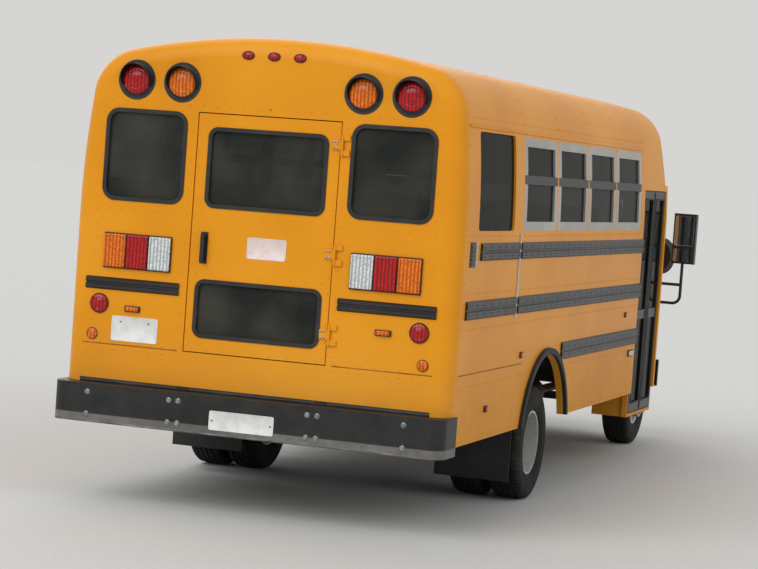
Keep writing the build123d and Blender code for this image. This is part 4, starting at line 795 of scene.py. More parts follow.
bolt_form = turned(
    "bolt_form",
    [(0.018, 0), (0.018, 0.002), (0.0135, 0.003), (0.0135, 0.009), (0.0115, 0.011), (0, 0.0112)],
    6,
)
bolt_places = [
    on_skin("rear_bumper", (x, -5, z), (0, 1, 0)) for x in (-0.98, -0.46, -0.40, 0.40, 0.46, 0.98) for z in (0.52, 0.65)
]
bolt_places += [
    on_skin("front_bumper", (x, 5, z), (0, -1, 0)) for x in (-0.46, -0.40, 0.40, 0.46) for z in (0.48, 0.60)
]
fitted(strewn("bumper_bolts", bolt_form, bolt_places), "chassis", zinc_plate)

# Rub rails. Rolled steel rails riveted along the body, in the same satin black as the
# bumpers, the mirrors' arms and the handle of the rear door.

black_enamel = mottled("black_enamel", ("#0d0d0e", "#141415", "#232322"), 220, 1.2, 0.06, Roughness=0.4)


def bumper_paint():
    """Satin black paint on bent channel, with a painted reflection of the floor in grey along the lower flange."""
    material, tree, shader, place = new_finish("bumper_paint", Roughness=0.45, Specular_IOR_Level=0.35)
    patches = add_node(tree, "TexNoise", {"Vector": place, "Scale": 4.5, "Detail": 6.0, "Roughness": 0.65})
    black = add_node(tree, "ValToRGB", {"Fac": patches.outputs["Fac"]}, stops=((0.35, "#111212"), (0.7, "#2a2a29")))
    grey = add_node(tree, "ValToRGB", {"Fac": patches.outputs["Fac"]}, stops=((0.3, "#4e4c49"), (0.7, "#7e7b77")))
    height = add_node(tree, "SeparateXYZ", {"Vector": place}).outputs["Z"]
    ragged = add_node(tree, "Math", {0: patches.outputs["Fac"], 1: 0.012, 2: height}, operation="MULTIPLY_ADD")
    # a grey band along the lower flange is a painted reflection of the floor
    flange = add_node(
        tree,
        "MapRange",
        {"Value": ragged.outputs["Value"], "From Min": 0.526, "From Max": 0.532, "To Min": 1.0, "To Max": 0.0},
    )
    flange_reflection = add_node(
        tree,
        "Mix",
        {"Factor": flange.outputs["Result"], 6: black.outputs["Color"], 7: grey.outputs["Color"]},
        data_type="RGBA",
    )
    tree.links.new(flange_reflection.outputs[2], shader.inputs["Base Color"])
    grain = add_node(tree, "TexNoise", {"Vector": place, "Scale": 700.0, "Detail": 2.0})
    return embossed(material, grain.outputs["Fac"], 0.3, 0.00008)


dress(bumper_paint(), "rear_bumper")
dress(black_enamel, "rub_rails", "mirrors", "stop_arm_bracket", "rear_door_handle")
scuffed_black = mottled("scuffed_black", ("#101011", "#1b1b1b", "#343332"), 130, 1.2, 0.08, Roughness=0.48)
dress(scuffed_black, "front_bumper")

# Bumper gap. A dark ribbed strip in the bumpers' black, set in the gap between the rear bumper's top
# flange and the body as painted shade, so that the lit floor beyond does not show through.

gap_shade_z = 0.708
bpy.ops.mesh.primitive_grid_add(x_subdivisions=72, y_subdivisions=3, size=1)
gap_shade_strip = bpy.context.object
gap_shade_strip.name = "rear_bumper_gap_shade"
gap_shade_strip.scale = (2.174, 0.032, 1)
gap_shade_strip.location = (0, -3.436, gap_shade_z)
gap_shade_strip.rotation_euler = (math.radians(90), 0, 0)
bpy.ops.object.transform_apply(location=True, rotation=True, scale=True)
bpy.ops.object.mode_set(mode="EDIT")
choose("FACE", lambda f: abs(f.calc_center_median().z - gap_shade_z) < 0.005)
bpy.ops.mesh.inset(thickness=0.003, depth=0.0015, use_individual=True)
bpy.ops.object.mode_set(mode="OBJECT")
gap_shade_wall = gap_shade_strip.modifiers.new("wall", "SOLIDIFY")
gap_shade_wall.thickness = 0.003
settle(gap_shade_strip)
fitted(gap_shade_strip, "chassis", scuffed_black, 30)

rail_screw_places = []
for side in (-1, 1):
    front_end = 1.44 if side > 0 else 1.34
    for z, start in ((1.6425, -2.97), (1.305, -3.20), (0.96, -0.84)):
        for dz in (-0.026, 0.026):
            rail_screw_places += [
                on_skin("rub_rails", (side * 1.5, y, z + dz), (-side, 0, 0))
                for y in spaced(start, front_end, 0.16)
                if abs(y + 2.13) > 0.05
            ]
    for dz in (-0.019, 0.019):
        rail_screw_places += [
            on_skin("rub_rails", (side * x, -4, 1.2895 + dz), (0, 1, 0)) for x in spaced(0.53, 1.05, 0.16)
        ]
rail_rivet = turned("rail_rivet", [(0.0062, -0.001), (0.006, 0.0012), (0.004, 0.0027), (0, 0.0033)], 8)
fitted(strewn("rub_rail_rivets", rail_rivet, rail_screw_places), "chassis", black_enamel, 40)

trim_aluminium = mottled(
    "trim_aluminium", ("#a9a08c", "#bdb5a2", "#cbc5b6"), 60, 1.0, 0.03, Roughness=0.4, Metallic=0.5
)
dress(trim_aluminium, "body_strips")

# Side vents. A pressed steel louvre behind each rear window lets stale air out; it is painted black
# and riveted on, and beside it a bright strip is a painted highlight of an edge.

vent_place = on_skin("side_wall_right", (1.5, -3.18, 1.628), (-1, 0, 0))
vent_parts = [block("vent_plate", (-0.055, -0.0725, -0.003), (0.055, 0.0725, 0.005), 0.002)]
for low in (-0.056, -0.032, -0.008, 0.016, 0.040):
    louvre = block("vent_louvre", (-0.044, low, 0.0), (0.044, low + 0.016, 0.011), 0.003, 3)
    bpy.context.view_layer.objects.active = louvre
    bpy.ops.object.mode_set(mode="EDIT")
    # each louvre opens downwards, so its lower edge stands out and its upper one runs into the plate
    choose("VERT", lambda v: v.co.y > low + 0.009 and v.co.z > 0.004)
    bpy.ops.transform.translate(value=(0, 0, -0.006))
    bpy.ops.object.mode_set(mode="OBJECT")
    vent_parts.append(louvre)
vent = joined("side_vents", vent_parts)
vent.data.transform(vent_place)
fitted(joined("side_vents", [vent, copied(vent, mirror_x)]), "chassis", black_enamel)
# the pale strip is a painted highlight, in the colour of the aluminium trim
edge_highlight_strip = block("vent_edge_highlights", (0.062, -0.0725, -0.003), (0.098, 0.0725, 0.003), 0.0015)
edge_highlight_strip.data.transform(vent_place)
fitted(joined("vent_edge_highlights", [edge_highlight_strip, copied(edge_highlight_strip, mirror_x)]), "chassis", trim_aluminium)

# Seams. Where the skirt panels lap under the panels above them, a thin brown line along the lap
# is painted shade under its edge.

lap_painted_shade = mottled(
    "lap_painted_shade", ("#7a4c14", "#96601c", "#b07528"), 90, 2.0, 0.2, Roughness=0.6, Specular_IOR_Level=0.2
)
seam_z = 0.932
seams = []
for side in (-1, 1):
    near, far = sorted((side * 0.482, side * 1.09))
    seams.append(
        block("seam", (near, rear_y - 0.0011, seam_z - 0.0035), (far, rear_y + 0.002, seam_z + 0.0035), 0.0008, 1)
    )
    near, far = sorted((side * 1.197, side * 1.2011))
    seams.append(block("seam", (near, -3.30, seam_z - 0.0035), (far, -1.87, seam_z + 0.0035), 0.0008, 1))
fitted(joined("lap_shade_lines", seams), "chassis", lap_painted_shade)

# Rubber mouldings. Window gaskets, wheel arch lips and mud flaps, extruded black rubber that
# has greyed a little in the sun; the flaps hang from a row of bolts.

moulded_rubber = mottled("moulded_rubber", ("#131313", "#1b1b1b", "#2a2a28"), 160, 1.4, 0.15, Roughness=0.66)
dress(moulded_rubber, "body_rubber", "rear_door_gaskets")

flap_bolts = [
    Matrix.Translation((side * x, rear_axle_y - 0.5705, 0.585)) @ facing_back
    for side in (-1, 1)
    for x in (0.70, 0.80, 0.90, 1.00, 1.09)
]
fitted(strewn("mud_flap_bolts", bolt_form, flap_bolts), "chassis", zinc_plate)

# Tail lamps. Moulded acrylic lenses, amber, red and clear from the outside inward, in black trays;
# below them a round stop lamp, a round amber reflector and a small marker, each on a rubber ring.


# a Wave texture of Scale 1 repeats every 314 mm
band_rate = 314


def lens_finish(name, dark, light, flute_mm):
    """Moulded acrylic: clear gloss over upright flutes, with a painted reflection of the reflector behind, brighter in
    the cells of the flutes.
    """
    material, tree, shader, place = new_finish(name, Roughness=0.14, Specular_IOR_Level=0.35)
    flutes = add_node(
        tree,
        "TexWave",
        {"Vector": place, "Scale": band_rate / flute_mm, "Distortion": 0.0},
        wave_type="BANDS",
        bands_direction="X",
    )
    cells = add_node(tree, "TexVoronoi", {"Vector": place, "Scale": 1300 / flute_mm})
    # the bright cells in the flutes are a painted reflection of the lamp's reflector
    painted_reflector_light = add_node(tree, "Math", {0: flutes.outputs["Fac"], 1: cells.outputs["Distance"]}, operation="MULTIPLY")
    colour = add_node(tree, "ValToRGB", {"Fac": painted_reflector_light.outputs["Value"]}, stops=((0.0, dark), (0.55, light)))
    tree.links.new(colour.outputs["Color"], shader.inputs["Base Color"])
    return embossed(material, flutes.outputs["Fac"], 0.5, 0.001)


# the real flutes are 5 mm apart, drawn at 22 mm so that they show
red_lens = lens_finish("red_lens", "#7d0a0c", "#c4191a", 22)
amber_lens = lens_finish("amber_lens", "#b24a08", "#f07f12", 22)
clear_lens = lens_finish("clear_lens", "#9fa5a3", "#e3e7e6", 22)

cluster_x, cluster_z = 0.771, 1.488
cluster_half, cluster_rise = 0.216, 0.105
lens_sets = {"amber": [], "red": [], "clear": []}
trays = []
for side in (-1, 1):
    middle = side * cluster_x
    tray = block(
        "lamp_tray",
        (middle - cluster_half, rear_y - 0.012, cluster_z - cluster_rise),
        (middle + cluster_half, rear_y, cluster_z + cluster_rise),
        0.004,
    )
    trays.append(tray)
    for place, colour in ((1, "amber"), (0, "red"), (-1, "clear")):
        x = middle + side * place * 0.143
        lens = block(
            "lens_" + colour,
            (x - 0.0675, rear_y - 0.024, cluster_z - 0.098),
            (x + 0.0675, rear_y - 0.010, cluster_z + 0.098),
            0.006,
            3,
        )
        rimmed(lens, lambda f: f.normal.y < -0.95 and f.calc_area() > 0.01, (0.007, 0), (0.002, -0.0025))
        lens_sets[colour].append(lens)

round_lens = turned(
    "round_lens",
    [(0.94, 0), (0.94, 0.1), (0.90, 0.18), (0.62, 0.27), (0.58, 0.24), (0.54, 0.28), (0.22, 0.33), (0, 0.335)],
    40,
)
round_ring = turned("round_ring", [(1.0, 0), (1.03, 0.06), (1.0, 0.2), (0.93, 0.2), (0.9, 0.05)], 40)


def lamp_placing(x, y, z, radius, turn):
    """The placing of the unit lamp forms at a point."""
    return Matrix.Translation((x, y, z)) @ turn @ Matrix.Diagonal((radius, radius, radius * 0.75, 1))


for side in (-1, 1):
    for colour, x, z, radius in (("red", 0.995, 1.169, 0.058), ("amber", 1.029, 0.986, 0.034)):
        placing = lamp_placing(side * x, rear_y, z, radius, facing_back)
        lens_sets[colour].append(copied(round_lens, placing))
        trays.append(copied(round_ring, placing))
    trays.append(
        block("marker_base", (side * 0.78 - 0.05, rear_y - 0.01, 1.132), (side * 0.78 + 0.05, rear_y, 1.168), 0.004)
    )
    lens_sets["amber"].append(
        block(
            "marker_lens",
            (side * 0.78 - 0.041, rear_y - 0.022, 1.137),
            (side * 0.78 + 0.041, rear_y - 0.008, 1.163),
            0.006,
            3,
        )
    )
    for distance, z, colour in ((1.525, 0.987, "amber"), (0.775, 0.702, "red"), (4.5, 1.135, "amber")):
        y = rear_y + distance
        face = side * 1.2
        trays.append(
            block(
                "marker_base",
                (min(face, face + side * 0.007), y - 0.035, z - 0.02),
                (max(face, face + side * 0.007), y + 0.035, z + 0.02),
                0.003,
            )
        )
        lens_sets[colour].append(
            block(
                "marker_lens",
                (min(face + side * 0.005, face + side * 0.016), y - 0.029, z - 0.015),
                (max(face + side * 0.005, face + side * 0.016), y + 0.029, z + 0.015),
                0.005,
                3,
            )
        )

lamp_trays = fitted(joined("lamp_trays", trays), "chassis", moulded_rubber)
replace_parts(lamp_trays, "tail_and_marker_lamps")
for colour, finish, slot in (
    ("amber", amber_lens, "lamp_lens"),
    ("red", red_lens, "lamp_lens"),
    ("clear", clear_lens, "clear_lens"),
):
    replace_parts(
        fitted(joined("tail_lens_" + colour, lens_sets[colour]), "chassis", finish), "tail_and_marker_lamps"
    )

# Entrance lamp. A small clear lamp in a black tray, seated on the skin, that lights the
# ground before the door.

lamp_tray = block("entrance_lamp_tray", (1.198, 1.24, 0.812), (1.207, 1.40, 0.862), 0.003)
fitted(lamp_tray, "chassis", moulded_rubber)
lamp_lens = block("entrance_lamp_lens", (1.205, 1.248, 0.819), (1.216, 1.392, 0.855), 0.005, 3)
rimmed(lamp_lens, lambda f: f.normal.x > 0.95 and f.calc_area() > 0.002, (0.006, 0), (0.0015, -0.002))
fitted(lamp_lens, "chassis", clear_lens)

# Warning lamps. Eight round flashers, amber inside and red outside, each behind a short black hood
# with a black painted ring on the body.

ring_steps = [(0.118, 0), (0.118, 0.0012), (0.1, 0.0012), (0.098, 0.006), (0.088, 0.008), (0.084, 0.004)]
warning_ring = turned("warning_ring", ring_steps, 48)
warning_lens = turned(
    "warning_lens",
    [
        (0.084, 0),
        (0.084, 0.008),
        (0.079, 0.013),
        (0.055, 0.0185),
        (0.052, 0.0175),
        (0.049, 0.0192),
        (0.02, 0.0212),
        (0, 0.0214),
    ],
    48,
)
bpy.ops.mesh.primitive_cylinder_add(
    vertices=40, radius=0.094, depth=0.072, location=(0, 0, 0.038), end_fill_type="NOTHING"
)
warning_hood = bpy.context.object
bpy.ops.object.transform_apply(location=True, rotation=True, scale=True)
bpy.ops.object.mode_set(mode="EDIT")
# the hood is cut back along its lower half and slopes to its front edge
bpy.ops.mesh.select_all(action="SELECT")
bpy.ops.mesh.bisect(plane_co=(0, -0.035, 0), plane_no=(0, 1, 0), clear_inner=True)
bpy.ops.mesh.select_all(action="SELECT")
bpy.ops.mesh.bisect(plane_co=(0, 0.094, 0.074), plane_no=(0, -0.42, 1), clear_outer=True)
bpy.ops.object.mode_set(mode="OBJECT")
hood_wall = warning_hood.modifiers.new("sheet", "SOLIDIFY")
hood_wall.thickness = 0.0022
settle(warning_hood)

warning_parts = {"amber": [], "red": [], "hoods": []}
for rear in (True, False):
    for x in (-0.85, -0.56, 0.56, 0.85):
        if rear:
            placing = Matrix.Translation((x, rear_y, 2.5)) @ facing_back
        else:
            point = on_skin("front_cap", (x, 5, 2.5), (0, -1, 0)).translation
            lean = math.atan2(0.3, 0.68)
            placing = Matrix.Translation(point) @ Matrix.Rotation(math.pi, 4, "Z")
            placing = placing @ Matrix.Rotation(math.pi / 2 - lean, 4, "X")
        warning_parts["amber" if abs(x) < 0.7 else "red"].append(copied(warning_lens, placing))
        warning_parts["hoods"] += [copied(warning_ring, placing), copied(warning_hood, placing)]
warning_trim = fitted(joined("warning_hoods", warning_parts["hoods"]), "chassis", black_enamel)
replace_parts(warning_trim, "warning_lamps")
for colour, finish in (("amber", amber_lens), ("red", red_lens)):
    piece = fitted(joined("warning_lens_" + colour, warning_parts[colour]), "chassis", finish)
    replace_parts(piece, "warning_lamps")

# Clearance lamps. Five small amber lamps over the windshield and red ones over the rear door, on
# the crown of the body.

dome = turned("clearance_lens", [(0.021, 0.002), (0.021, 0.006), (0.017, 0.012), (0.008, 0.0155), (0, 0.016)], 20)
base = turned("clearance_base", [(0.026, -0.001), (0.026, 0.004), (0.022, 0.006), (0.02, 0.004)], 20)
clearance = {"amber": [], "red": []}
clearance_bases = []
for colour, node, start, way, xs in (
    ("amber", "front_cap", 5, -1, (-1.0, -0.16, 0, 0.16, 1.0)),
    ("red", "rear_wall", -5, 1, (-0.16, 0, 0.16)),
):
    for x in xs:
        height = 2.68 if abs(x) < 0.5 else 2.60
        placing = on_skin(node, (x, start, height), (0, way, 0))
        if placing is None:
            continue
        stretch = placing @ Matrix.Diagonal((1.5, 1, 1, 1))
        clearance[colour].append(copied(dome, stretch))
        clearance_bases.append(copied(base, stretch))
fitted(joined("clearance_bases", clearance_bases), "chassis", moulded_rubber)
fitted(joined("clearance_amber", clearance["amber"]), "chassis", amber_lens)
fitted(joined("clearance_red", clearance["red"]), "chassis", red_lens)

# Glass. Tempered safety glass, tinted grey and darkened as painted shade of the dim inside, in
# sliding aluminium sashes along the sides and in black rubber gaskets at the back.


def glazing(name, dark, dust_and_reflection, cover):
    """Float glass: smooth, and dark as painted shade of what is behind it, under a paler film that covers it by a
    share: road dust, and on the rear panes a painted reflection as well.
    """
    material, tree, shader, place = new_finish(name, Roughness=0.05, IOR=1.5, Specular_IOR_Level=0.02, Alpha=cover)
    film = add_node(tree, "TexNoise", {"Vector": place, "Scale": 3.0, "Detail": 5.0})
    tint = add_node(tree, "ValToRGB", {"Fac": film.outputs["Fac"]}, stops=((0.35, dark), (0.75, dust_and_reflection)))
    tree.links.new(tint.outputs["Color"], shader.inputs["Base Color"])
    return material


safety_glass = glazing("safety_glass", "#181814", "#292822", 0.68)
# the panes at the back are paler grey, a painted reflection of the light behind the bus
dress(glazing("rear_glass_reflection", "#2e312e", "#4d4b44", 0.74), "rear_panes", "rear_door_glass")
dress(
    safety_glass,
    "side_panes_left",
    "side_panes_right",
    "windshield",
    "driver_door_glass",
    "entrance_glass_front",
    "entrance_glass_rear",
)

# Sashes. Extruded aluminium frames, with a black meeting rail; the upper pane slides down between
# two spring latches.

sash_aluminium = mottled(
    "sash_aluminium", ("#a3a29d", "#adaca8", "#b5b4b0"), 420, 1.0, 0.03, Roughness=0.42, Metallic=0.45
)

sash_rail_z = 2.08
sash_rail_half = 0.0283


def sash_finish():
    """Mill aluminium with a black painted meeting rail, which the bus's shade hides among the dark panes."""
    material, tree, shader, place = new_finish("railed_aluminium", Roughness=0.42, Metallic=0.4)
    patches = add_node(tree, "TexNoise", {"Vector": place, "Scale": 2.4, "Detail": 4.0})
    pale = add_node(tree, "ValToRGB", {"Fac": patches.outputs["Fac"]}, stops=((0.3, "#a5a39c"), (0.7, "#b8b6af")))
    height = add_node(tree, "SeparateXYZ", {"Vector": place}).outputs["Z"]
    off_rail = add_node(tree, "Math", {0: height, 1: sash_rail_z}, operation="SUBTRACT")
    off_rail = add_node(tree, "Math", {0: off_rail.outputs["Value"]}, operation="ABSOLUTE")
    rail = add_node(tree, "Math", {0: off_rail.outputs["Value"], 1: sash_rail_half}, operation="LESS_THAN")
    painted = add_node(
        tree,
        "Mix",
        {"Factor": rail.outputs["Value"], 6: pale.outputs["Color"], 7: linear("#1d1d1d")},
        data_type="RGBA",
    )
    tree.links.new(painted.outputs[2], shader.inputs["Base Color"])
    # the die leaves fine lines along the frame, drawn at 2 mm
    lines = add_node(tree, "TexNoise", {"Vector": place, "Scale": 500.0, "Detail": 1.0})
    return embossed(material, lines.outputs["Fac"], 0.3, 0.0001)


dress(sash_finish(), "window_sashes_left", "window_sashes_right")
latches = []
for k in range(4):
    low = pillar_ys[k] + 0.015
    high = pillar_ys[k + 1] - 0.015
    for y in (low + 0.11, high - 0.11):
        for side in (-1, 1):
            x = side * 1.139
            latch = block(
                "latch",
                (min(x, x - side * 0.014), y - 0.024, 2.066),
                (max(x, x - side * 0.014), y + 0.024, 2.094),
                0.003,
            )
            grip = block(
                "grip",
                (min(x - side * 0.012, x - side * 0.02), y - 0.004, 2.07),
                (max(x - side * 0.012, x - side * 0.02), y + 0.018, 2.078),
                0.002,
            )
            latches += [latch, grip]
fitted(joined("sash_latches", latches), "chassis", black_enamel)

# Entrance door. Two outward folding leaves in black enamelled frames with rubber edges that meet
# in the middle; each has a kick panel, and a pull handle stands on the front one.

dress(black_enamel, "entrance_leaf_front", "entrance_leaf_rear")
for leaf, body, low_y, high_y in (("rear", "entrance_rear", 1.496, 1.885), ("front", "entrance_front", 1.895, 2.284)):
    meeting = high_y if leaf == "rear" else low_y
    inward = -1 if leaf == "rear" else 1
    edge = block(
        "edge_rubber",
        (1.154, min(meeting, meeting + inward * 0.022), 0.37),
        (1.187, max(meeting, meeting + inward * 0.022), 2.055),
        0.009,
        3,
    )
    seals = [edge]
    low_z, high_z = 0.438, 1.999
    for y in (low_y + 0.053, high_y - 0.053):
        seals.append(
            block("glazing_bead", (1.178, y - 0.006, low_z - 0.004), (1.188, y + 0.006, high_z + 0.004), 0.003)
        )
    for z in (low_z, high_z):
        seals.append(block("glazing_bead", (1.178, low_y + 0.05, z - 0.006), (1.188, high_y - 0.05, z + 0.006), 0.003))
    fitted(joined("entrance_seals_" + leaf, seals), body, moulded_rubber)

# Driver's door. A pressed van door; its pull handle is moulded plastic over a dark cup, with a
# lock barrel below, and rubber seals the glass.

grille_plastic = mottled("grille_plastic", ("#121212", "#1b1b1b", "#262626"), 140, 0.9, 0.1, Roughness=0.55)
handle_cup = block("handle_cup", (-1.009, 1.50, 1.215), (-1.004, 1.64, 1.275), 0.004, 3)
pull = tube(
    "door_pull", [
        (-1.006, 1.512, 1.247),
        (-1.03, 1.522, 1.247),
        (-1.034, 1.57, 1.247),
        (-1.03, 1.618, 1.247),
        (-1.006, 1.628, 1.247),
    ], 0.009, 12
)
lock = turned(
    "lock_barrel", [(0.011, 0), (0.011, 0.004), (0.009, 0.006), (0.004, 0.006), (0.0035, 0.004), (0, 0.004)], 20
)
lock = copied(lock, Matrix.Translation((-1.0045, 1.535, 1.175)) @ Matrix.Rotation(-math.pi / 2, 4, "Y"))
bpy.data.objects.remove(bpy.data.objects["lock_barrel"])
fitted(joined("driver_door_pull", [handle_cup, pull, lock]), "driver_door", grille_plastic)

# Windshield. Laminated glass bonded into the cab with a black frit line; two wipers are parked
# along its foot, their arms sprung from spindles in the cowl.

screen_foot = Vector((0, 2.587, 1.411))
screen_rise = Vector((0, -0.515, 1.0)).normalized()
screen_out = Vector((0, 1.0, 0.515)).normalized()


def on_screen(x, up, out):
    """A point at x, up the windshield from its foot, and out from the glass."""
    return Vector((x, 0, 0)) + screen_foot + screen_rise * up + screen_out * out


wiper_parts = []
for spindle_x, tip_x, tip_up in ((-0.62, -0.05, 0.075), (0.02, 0.60, 0.075)):
    spindle = on_screen(spindle_x, -0.055, 0.012)
    elbow = on_screen(spindle_x + 0.10, -0.012, 0.026)
    tip = on_screen((spindle_x + tip_x) / 2 + 0.06, 0.045, 0.022)
    arm = tube("wiper_arm", [spindle, spindle.lerp(elbow, 0.7), elbow, elbow.lerp(tip, 0.5), tip], 0.0055, 8)
    stem = tube(
        "blade_back",
        [on_screen(spindle_x + 0.08, 0.030, 0.013), tip - screen_out * 0.004, on_screen(tip_x, tip_up, 0.013)],
        0.005,
        8,
    )
    edge = tube(
        "blade_edge",
        [on_screen(spindle_x + 0.07, 0.028, 0.004), on_screen(tip_x + 0.01, tip_up, 0.004)],
        0.0042,
        6,
        False,
    )
    cap = turned("wiper_cap", [(0.014, -0.02), (0.014, 0.004), (0.01, 0.009), (0, 0.01)], 16)
    cap_place = Matrix.Translation(spindle) @ screen_out.to_track_quat("Z", "Y").to_matrix().to_4x4()
    wiper_parts += [arm, stem, edge, copied(cap, cap_place)]
    bpy.data.objects.remove(cap)
fitted(joined("wipers", wiper_parts), "chassis", grille_plastic)

frame_strips = []
for side in (-1, 1):
    foot = on_screen(side * 0.868, 0.012, 0.001)
    head = on_screen(side * 0.792, 0.70, 0.001)
    frame_strips.append(tube("frit_side", [foot, head], 0.006, 8, False))
frame_strips.append(
    tube("frit_foot", [on_screen(-0.868, 0.012, 0.001), on_screen(0.868, 0.012, 0.001)], 0.006, 8, False)
)
fitted(joined("windshield_rubber", frame_strips), "chassis", moulded_rubber)

# Windshield header. A pressed steel strip that carries the cab's skin over the doorway side, from
# the top of the glass up under the front cap; it is spot welded and painted with the cab.

bpy.ops.mesh.primitive_grid_add(x_subdivisions=80, y_subdivisions=18, size=1)
header = bpy.context.object
header.name = "windshield_header"
header_low, header_high = 1.89, 2.067
cab_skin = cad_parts["cab_shell"]
form = bmesh.new()
form.from_mesh(header.data)
astray = []
for vert in form.verts:
    x, z = -0.05 + (vert.co.x + 0.5) * 1.05, header_low + (vert.co.y + 0.5) * (header_high - header_low)
    # the skin on the driver's side is whole, so the strip takes its shape from there, a little further in
    hit, point, _, _ = cab_skin.ray_cast(Vector((-abs(x), 4, z)), Vector((0, -1, 0)))
    expected_y = screen_foot.y + 0.017 - 0.515 * (z - screen_foot.z)
    if hit and abs(point.y - expected_y) < 0.05:
        vert.co = (x, point.y - 0.0008, z)
    else:
        astray.append(vert)
bmesh.ops.delete(form, geom=astray, context="VERTS")
form.to_mesh(header.data)
form.free()
bpy.ops.object.mode_set(mode="EDIT")
bpy.ops.mesh.select_all(action="SELECT")
bpy.ops.mesh.normals_make_consistent(inside=False)
bpy.ops.object.mode_set(mode="OBJECT")
if header.data.polygons[0].normal.y < 0:
    header.data.flip_normals()
header_wall = header.modifiers.new("wall", "SOLIDIFY")
header_wall.thickness = 0.018
settle(header)
fitted(header, "chassis", enamel, 30)

# Cowl. A black moulded panel with rows of air slots, which fills the step between the hood
# and the windshield.

bpy.ops.mesh.primitive_grid_add(x_subdivisions=56, y_subdivisions=5, size=1)
cowl = bpy.context.object
cowl.name = "cowl_panel"
cowl.scale = (1.60, 0.135, 1)
cowl.location = (0, 2.722, 1.3705)
cowl.rotation_euler = (math.atan2(-0.03, 0.18), 0, 0)
bpy.ops.object.transform_apply(location=True, rotation=True, scale=True)
bpy.ops.object.mode_set(mode="EDIT")
choose(
    "FACE",
    lambda f: abs(f.calc_center_median().y - 2.722) < 0.045 and round((f.calc_center_median().x + 2) * 35) % 7 != 0,
)
bpy.ops.mesh.inset(thickness=0.005, depth=-0.0035, use_individual=True)
bpy.ops.object.mode_set(mode="OBJECT")
cowl_wall = cowl.modifiers.new("wall", "SOLIDIFY")
cowl_wall.thickness = 0.0035
settle(cowl)
fitted(cowl, "chassis", grille_plastic, 30)

# Grille. Moulded black bars over a dark mesh and the radiator's core, with an aluminium edge
# round the opening.

dress(grille_plastic, "grille")
grille_edges = []
for z in (0.703, 0.957):
    grille_edges.append(block("edge_bar", (-0.426, 3.488, z - 0.007), (0.426, 3.502, z + 0.007), 0.003))
for x in (-0.423, 0.423):
    grille_edges.append(block("edge_bar", (x - 0.007, 3.488, 0.71), (x + 0.007, 3.502, 0.95), 0.003))
fitted(joined("grille_surround", grille_edges), "chassis", sash_aluminium)

mesh_bars = []
for x in spaced(-0.40, 0.40, 0.04):
    mesh_bars.append(block("mesh_bar", (x - 0.003, 3.452, 0.72), (x + 0.003, 3.462, 0.94), 0.001, 1))
radiator = block("radiator", (-0.40, 3.40, 0.70), (0.40, 3.43, 0.955), 0.004)
rimmed(radiator, lambda f: f.normal.y > 0.9 and f.calc_area() > 0.05, (0.02, -0.006))
fitted(joined("grille_mesh", mesh_bars), "chassis", grille_plastic)
fitted(radiator, "chassis", cast_iron)

# Headlamps. Clear moulded covers over bright reflector bowls, with an amber turn lamp at each
# outer end.

reflector_chrome = mottled(
    "reflector_chrome", ("#c6c8ca", "#d4d6d8", "#dfe1e3"), 600, 2.0, 0.01, Roughness=0.1, Metallic=0.95
)
lamp_cover, cover_tree, cover_shader, cover_place = new_finish("lamp_cover", Roughness=0.05, IOR=1.49)
cover_dust = add_node(cover_tree, "TexNoise", {"Vector": cover_place, "Scale": 12.0, "Detail": 4.0})
cover_tint = add_node(
    cover_tree, "ValToRGB", {"Fac": cover_dust.outputs["Fac"]}, stops=((0.3, "#dfe4e6"), (0.7, "#f2f4f4"))
)
cover_tree.links.new(cover_tint.outputs["Color"], cover_shader.inputs["Base Color"])
cover_shader.inputs["Alpha"].default_value = 0.28

bowl_form = turned(
    "bowl_form",
    [
        (0.078, 0.03),
        (0.074, 0.03),
        (0.068, 0.016),
        (0.05, -0.004),
        (0.022, -0.018),
        (0.016, -0.018),
        (0.013, 0.0),
        (0.010, 0.006),
        (0, 0.008),
    ],
    40,
)
facing_front = Matrix.Rotation(math.pi, 4, "Z") @ facing_back
bowls, covers, turn_lamps, housings = [], [], [], []
for side in (-1, 1):
    near, far = side * 0.478, side * 0.797
    split = side * 0.70
    housings.append(block("lamp_housing", (min(near, far), 3.446, 0.748), (max(near, far), 3.456, 0.922), 0.003))
    for z in (0.7485, 0.9135):
        housings.append(block("lamp_rim", (min(near, far), 3.45, z), (max(near, far), 3.483, z + 0.008), 0.002))
    bowls.append(
        copied(
            bowl_form,
            Matrix.Translation((side * 0.585, 3.468, 0.835)) @ facing_front @ Matrix.Diagonal((1.28, 1, 0.6, 1)),
        ),
    )
    cover = block("cover", (min(near, split), 3.474, 0.75), (max(near, split), 3.486, 0.92), 0.006, 3)
    covers.append(cover)
    lamp = block("turn_lamp", (min(split, far), 3.458, 0.75), (max(split, far), 3.486, 0.92), 0.007, 3)
    turn_lamps.append(lamp)
bpy.data.objects.remove(bowl_form)
reflectors = fitted(joined("headlamp_reflectors", bowls + housings), "chassis", reflector_chrome)
covers = fitted(joined("headlamp_covers", covers), "chassis", lamp_cover)
turn_lamps = fitted(joined("turn_lamps", turn_lamps), "chassis", amber_lens)
for piece in (reflectors, covers, turn_lamps):
    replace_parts(piece, "headlamps")

# Mirrors. Flat glass over a smaller convex glass on each arm, and the domed mirrors at the front
# corners; silvered glass with a black rubber rim.

